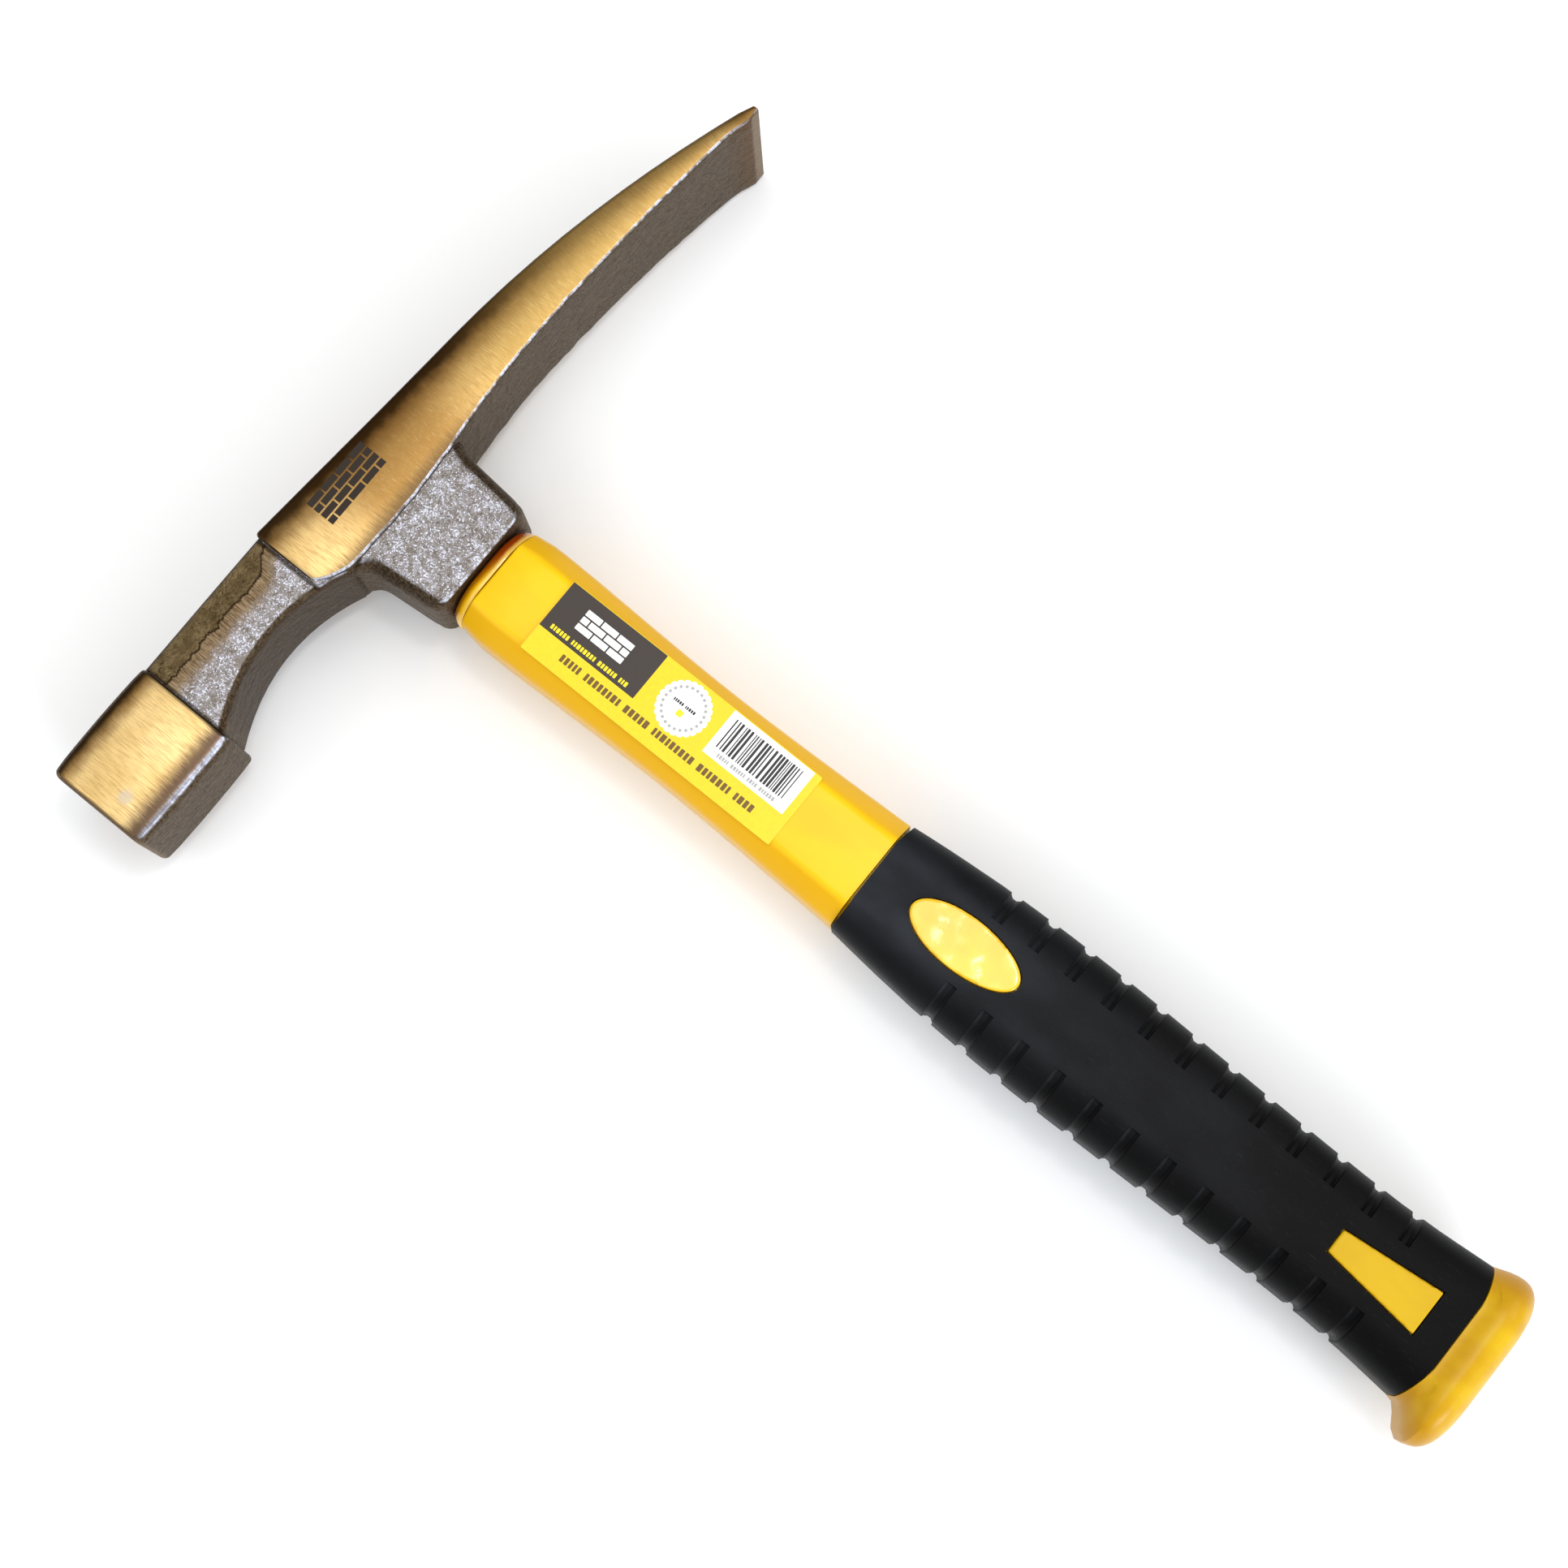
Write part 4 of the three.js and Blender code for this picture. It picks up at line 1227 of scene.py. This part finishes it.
# %% Rubber
def black_rubber():
    material, tree, shader = finish("black_rubber")
    place, down, along, _ = hammer_mm(tree)
    cloud = grain(tree, place, (0.05, 0.09, 0.09), 3, 0.5)
    pores = grain(tree, place, (3.0, 3.0, 3.0), 2, 0.6)
    rubbed = grain(tree, place, (0.4, 2.5, 2.5), 3, 0.6)
    # Painted bluish sheen at the front of the grip, fading down to near black at the butt end.
    front = blend(tree, band(tree, cloud, 0.3, 0.7), srgb(30, 32, 36), srgb(46, 49, 55))
    middle = blend(tree, band(tree, cloud, 0.3, 0.7), srgb(14, 14, 16), srgb(24, 25, 28))
    back = blend(tree, band(tree, cloud, 0.3, 0.7), srgb(2, 2, 2), srgb(8, 7, 7))
    tone = blend(tree, band(tree, down, GRIP_START - 10, GRIP_START + 70), front, middle)
    tone = blend(tree, band(tree, down, GRIP_START + 60, GRIP_END - 15), tone, back)
    # Painted shade on the edges turned from the flank.
    side = band(tree, maths(tree, "ABSOLUTE", along), 5, 12, 0.0, 0.75)
    tone = blend(tree, side, tone, srgb(5, 5, 5))
    # Rubbed scratches, painted lighter as a sheen.
    rubbed_sheen = band(tree, rubbed, 0.6, 0.75, 0.0, 0.3)
    tone = blend(tree, rubbed_sheen, tone, srgb(40, 41, 45))
    wire(tree, shader.inputs["Base Color"], tone)
    wire(tree, shader.inputs["Roughness"], maths(tree, "MULTIPLY_ADD", pores, 0.2, 0.36))
    wire(tree, shader.inputs["Normal"], bumped(tree, pores, 0.02))
    shader.inputs["Specular IOR Level"].default_value = 0.08
    return material


dress(sleeve, black_rubber())


# %% Amber and resin
def amber(name, thin, thick, gloss):
    material, tree, shader = finish(name)
    place, down, along, _ = hammer_mm(tree)
    cloud = grain(tree, place, (0.25, 0.25, 0.25), 3, 0.5)
    side = band(tree, maths(tree, "MULTIPLY_ADD", cloud, 6.0, along), -5, 9)
    tone = blend(tree, side, thin, thick)
    wavering = maths(tree, "MULTIPLY_ADD", cloud, 0.6, down)
    by_the_rim = band(tree, wavering, 42.7, 41.6, 0.0, 0.75)
    by_the_rim = times(tree, by_the_rim, band(tree, down, 30, 35))
    tone = blend(tree, by_the_rim, tone, srgb(150, 62, 2))
    # A pale band toward the jacket: the translucent lip, with a painted highlight on it.
    tone = blend(tree, band(tree, wavering, 42.3, 43.5, 0.0, 0.7), tone, srgb(255, 216, 90))
    wire(tree, shader.inputs["Base Color"], tone)
    wire(tree, shader.inputs["Roughness"], maths(tree, "MULTIPLY_ADD", cloud, 0.1, gloss))
    shader.inputs["Coat Weight"].default_value = 0.35
    shader.inputs["Specular IOR Level"].default_value = 0.3
    shader.inputs["Coat Roughness"].default_value = 0.03
    wire(tree, shader.inputs["Normal"], bumped(tree, cloud, 0.15))
    return material


dress(bead, amber("amber_seal", srgb(246, 190, 6), srgb(150, 52, 0), 0.12))
dress(resin, amber("eye_resin", srgb(150, 88, 34), srgb(110, 56, 18), 0.14))


# %% [markdown]
# ## Glass fibre
#
# The core is out of sight, under the resin and inside the handle, but it shows when the hammer
# is taken apart. A new rod would look the same as the measured one, so that is kept as it is and
# only gets its finish: fibres as fine noise, drawn out along the rod.

# %% Glass fibre
def glass_fibre():
    material, tree, shader = finish("glass_fibre")
    place = hammer_mm(tree)[0]
    fibres = grain(tree, place, (0.04, 5.0, 5.0), 3, 0.6)
    tone = blend(tree, band(tree, fibres, 0.3, 0.7), srgb(196, 172, 112), srgb(226, 208, 158))
    wire(tree, shader.inputs["Base Color"], tone)
    wire(tree, shader.inputs["Roughness"], maths(tree, "MULTIPLY_ADD", fibres, 0.3, 0.4))
    wire(tree, shader.inputs["Normal"], bumped(tree, fibres, 0.05))
    return material


dress(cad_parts["fibreglass_core"], glass_fibre())

# %% [markdown]
# ## The label's print
#
# The film carries a dark panel with a pictogram of laid bricks, a white scalloped seal, a white
# panel with stripes, and a row of bars where a real label has words. An image would have to be
# stored beside the script, so each ink is a layer a few hundredths of a millimetre thick
# instead, made of small blocks in one mesh.

# %% Inks
FILM_TOP = (label_high.z - MID_Z) / MM
LABEL_START = (label_low.x - CROWN_X) / MM
INK = 0.02  # mm, one layer
PRINT_DEPTH = 0.08  # mm, from the film's top down to where the first layer starts
SEAL_U, SEAL_V, SEAL_RADIUS, SEAL_RING = 34.5, 2.2, 6, 4.6


def ink_blocks(name, blocks, level, top=None, corner=0.08):
    """blocks are (u, v, length, height) from the label's front end and its middle line."""
    top = FILM_TOP if top is None else top
    low = top - PRINT_DEPTH + level * INK
    clear_selection()
    for i, (u, v, length, height) in enumerate(blocks):
        middle = spot(LABEL_START + u + length / 2, v + height / 2, low + INK / 2)
        bpy.ops.mesh.primitive_cube_add(size=1, location=middle)
        if i == 0:
            piece = bpy.context.object
            piece.name = name
            bpy.ops.object.transform_apply(location=True, rotation=False, scale=False)
            bpy.ops.object.mode_set(mode="EDIT")
            bpy.ops.mesh.select_all(action="SELECT")
        size = (length * MM, height * MM, INK * MM)
        bpy.ops.transform.resize(value=size, center_override=middle)
    pick(piece, "EDGE", upright)
    bpy.ops.mesh.bevel(offset=corner * MM, segments=1)
    clear_selection()
    print(name, "has", len(blocks), "blocks")
    return piece


# %% Patterns to print
def bond(u, v, brick, course, rows, columns, joint=0.35):
    """Bricks laid in half bond."""
    blocks = []
    for row in range(rows):
        shift = 0 if row % 2 == 0 else -brick / 2
        for column in range(columns + (row % 2)):
            start = max(u, u + column * brick + shift)
            end = min(u + columns * brick, u + (column + 1) * brick + shift) - joint
            blocks.append((start, v + row * course, end - start, course - joint))
    return blocks


def bars(u_start, u_end, v, height, words, seed):
    """Greeked words: groups of short bars, all of one height."""
    chance = random.Random(seed)
    blocks, u = [], u_start
    while u < u_end:
        for _ in range(chance.randint(*words)):
            width = height * chance.uniform(0.35, 0.65)
            if u + width < u_end:
                blocks.append((u, v, width, height))
            u += width + height * 0.22
        u += height * 0.6
    return blocks


def stripes(u_start, u_end, v, height, seed):
    chance = random.Random(seed)
    blocks, u = [], u_start
    while u < u_end - 0.6:
        width = chance.choice((0.22, 0.3, 0.55))
        blocks.append((u, v, width, height))
        u += width + chance.choice((0.25, 0.35, 0.55))
    return blocks


# %% The seal and the ink itself
def scalloped_seal():
    clear_selection()
    middle = spot(LABEL_START + SEAL_U, SEAL_V, FILM_TOP - PRINT_DEPTH)
    bpy.ops.mesh.primitive_circle_add(
        vertices=96, radius=SEAL_RADIUS * MM, fill_type="NGON", location=middle
    )
    seal = bpy.context.object
    seal.name = "ink_seal"
    bpy.ops.object.transform_apply(location=True, rotation=False, scale=False)
    edit(seal)

    def in_a_dip(vertex):
        turn = math.degrees(math.atan2(vertex.co.y - middle.y, vertex.co.x - middle.x)) % 15
        return 5.5 < turn < 9.5

    pick(seal, "VERT", in_a_dip)
    bpy.ops.transform.resize(value=(0.94, 0.94, 1), center_override=middle)
    bpy.ops.mesh.select_mode(type="FACE")
    bpy.ops.mesh.select_all(action="SELECT")
    bpy.ops.mesh.extrude_region_move(TRANSFORM_OT_translate={"value": (0, 0, INK * MM)})
    clear_selection()
    return face_outwards(seal)


def ink(name, colour, roughness):
    material, tree, shader = finish(name)
    place = hammer_mm(tree)[0]
    cloud = grain(tree, place, (1.2, 1.2, 1.2), 3, 0.6)
    darker = tuple(c * 0.94 for c in colour)
    wire(tree, shader.inputs["Base Color"], blend(tree, band(tree, cloud, 0.35, 0.65), darker, colour))
    wire(tree, shader.inputs["Roughness"], maths(tree, "MULTIPLY_ADD", cloud, 0.1, roughness))
    wire(tree, shader.inputs["Normal"], bumped(tree, cloud, 0.01))
    shader.inputs["Specular IOR Level"].default_value = 0.3
    return material


# %% Print the label
brown_ink = ink("brown_ink", srgb(56, 46, 40), 0.3)
word_ink = ink("word_ink", srgb(112, 82, 18), 0.3)
black_ink = ink("black_ink", srgb(34, 30, 30), 0.3)
white_ink = ink("white_ink", srgb(250, 250, 250), 0.3)
yellow_ink = ink("yellow_ink", srgb(255, 226, 20), 0.3)
grey_ink = ink("grey_ink", srgb(176, 176, 172), 0.35)
dress(label, ink("label_film", srgb(246, 212, 6), 0.25))

seal_ticks = []
for turn in spaced(0, 345, 24):
    u = SEAL_U + SEAL_RING * math.cos(math.radians(turn))
    v = SEAL_V + SEAL_RING * math.sin(math.radians(turn))
    seal_ticks.append((u - 0.3, v - 0.3, 0.6, 0.6))

prints = [
    (ink_blocks("ink_panel", [(0.05, -2.7, 25, 11.4)], 0), brown_ink),
    (ink_blocks("ink_bricks", bond(6.2, 1.2, 4.2, 1.75, 3, 3), 1), white_ink),
    (ink_blocks("ink_panel_bars", bars(2.2, 23, -1.9, 1.1, (5, 8), 3), 1), yellow_ink),
    (scalloped_seal(), white_ink),
    (ink_blocks("ink_seal_ticks", seal_ticks, 1), grey_ink),
    (ink_blocks("ink_seal_bars", bars(31.6, 37.2, 2.4, 0.7, (3, 5), 5), 1), black_ink),
    (ink_blocks("ink_seal_dot", [(33.8, 0.2, 1.4, 1.4)], 1), yellow_ink),
    (ink_blocks("ink_white_panel", [(43, -2.2, 21, 10.8)], 0), white_ink),
    (ink_blocks("ink_stripes", stripes(44.6, 62.6, 0.2, 7.2, 11), 1), black_ink),
    (ink_blocks("ink_small_bars", bars(46, 61, -1.4, 0.9, (4, 7), 4), 1), grey_ink),
    (ink_blocks("ink_words", bars(8, 59, -6.1, 1.7, (4, 9), 8), 0), word_ink),
]
for piece, material in prints:
    dress(piece, material)

# %% The mark on the ground flank, laid along the head
MARK_SUNK = 0.01
flank_top = probe("head", (6, -14, FAR), (0, 0, -1))[2] + PRINT_DEPTH - MARK_SUNK
rows = bond(-13.5, 0, 4.4, 1.9, 4, 4, 0.4)
mark_blocks = [(4.2 + v - LABEL_START, u, tall, long) for u, v, long, tall in rows]
mark = ink_blocks("head_mark", mark_blocks, 0, flank_top)
dress(mark, ink("etched_mark", srgb(40, 28, 16), 0.5))

# %% Thin the film by the depth of the inks, so that they end level with its top
edit(label)
pick(label, "FACE", lambda f: f.normal.z > 0.9)
bpy.ops.transform.translate(value=(0, 0, -PRINT_DEPTH * MM))
clear_selection()


# %% [markdown]
# ## The floor
#
# A sheet of white studio card. It is nearly white, so that it throws light back under the
# hammer, and only faintly uneven.

# %% Floor
def studio_floor():
    material, tree, shader = finish("pale_floor")
    place = put(tree, "TexCoord").outputs["Object"]
    cloud = put(tree, "TexNoise", None, {"Vector": place, "Scale": 3.0}).outputs[0]
    tone = blend(tree, band(tree, cloud, 0.3, 0.7), (0.95, 0.95, 0.95), (0.97, 0.97, 0.97))
    wire(tree, shader.inputs["Base Color"], tone)
    shader.inputs["Roughness"].default_value = 0.75
    return material


dress(floor, studio_floor())

# %% [markdown]
# ## Placing the pieces
#
# Every new piece rides on the hammer's one body and stands in for the measured piece of its place.
# A rigid hammer has no joints, so all of them ride on "root".

# %% Bodies, nodes and slots
stand_ins = {
    "head": (head, "forged_steel"),
    "handle_jacket": (jacket, "yellow_jacket"),
    "grip_sleeve": (sleeve, "black_rubber"),
    "butt_cap": (cap, "ochre_cap"),
    "rim_seal": (bead, "amber_seal"),
    "eye_resin": (resin, "eye_resin"),
    "label": (label, "label_film"),
}
for node, piece in windows.items():
    stand_ins[node] = (piece, "yellow_insert")
placements = [(piece, node, slot) for node, (piece, slot) in stand_ins.items()]
placements += [(piece, "label", "label_film") for piece, _ in prints]
placements.append((mark, "head", "forged_steel"))
for piece, node, slot in placements:
    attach(piece, "root")
    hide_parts(node)
print(len(placements), "new pieces placed")
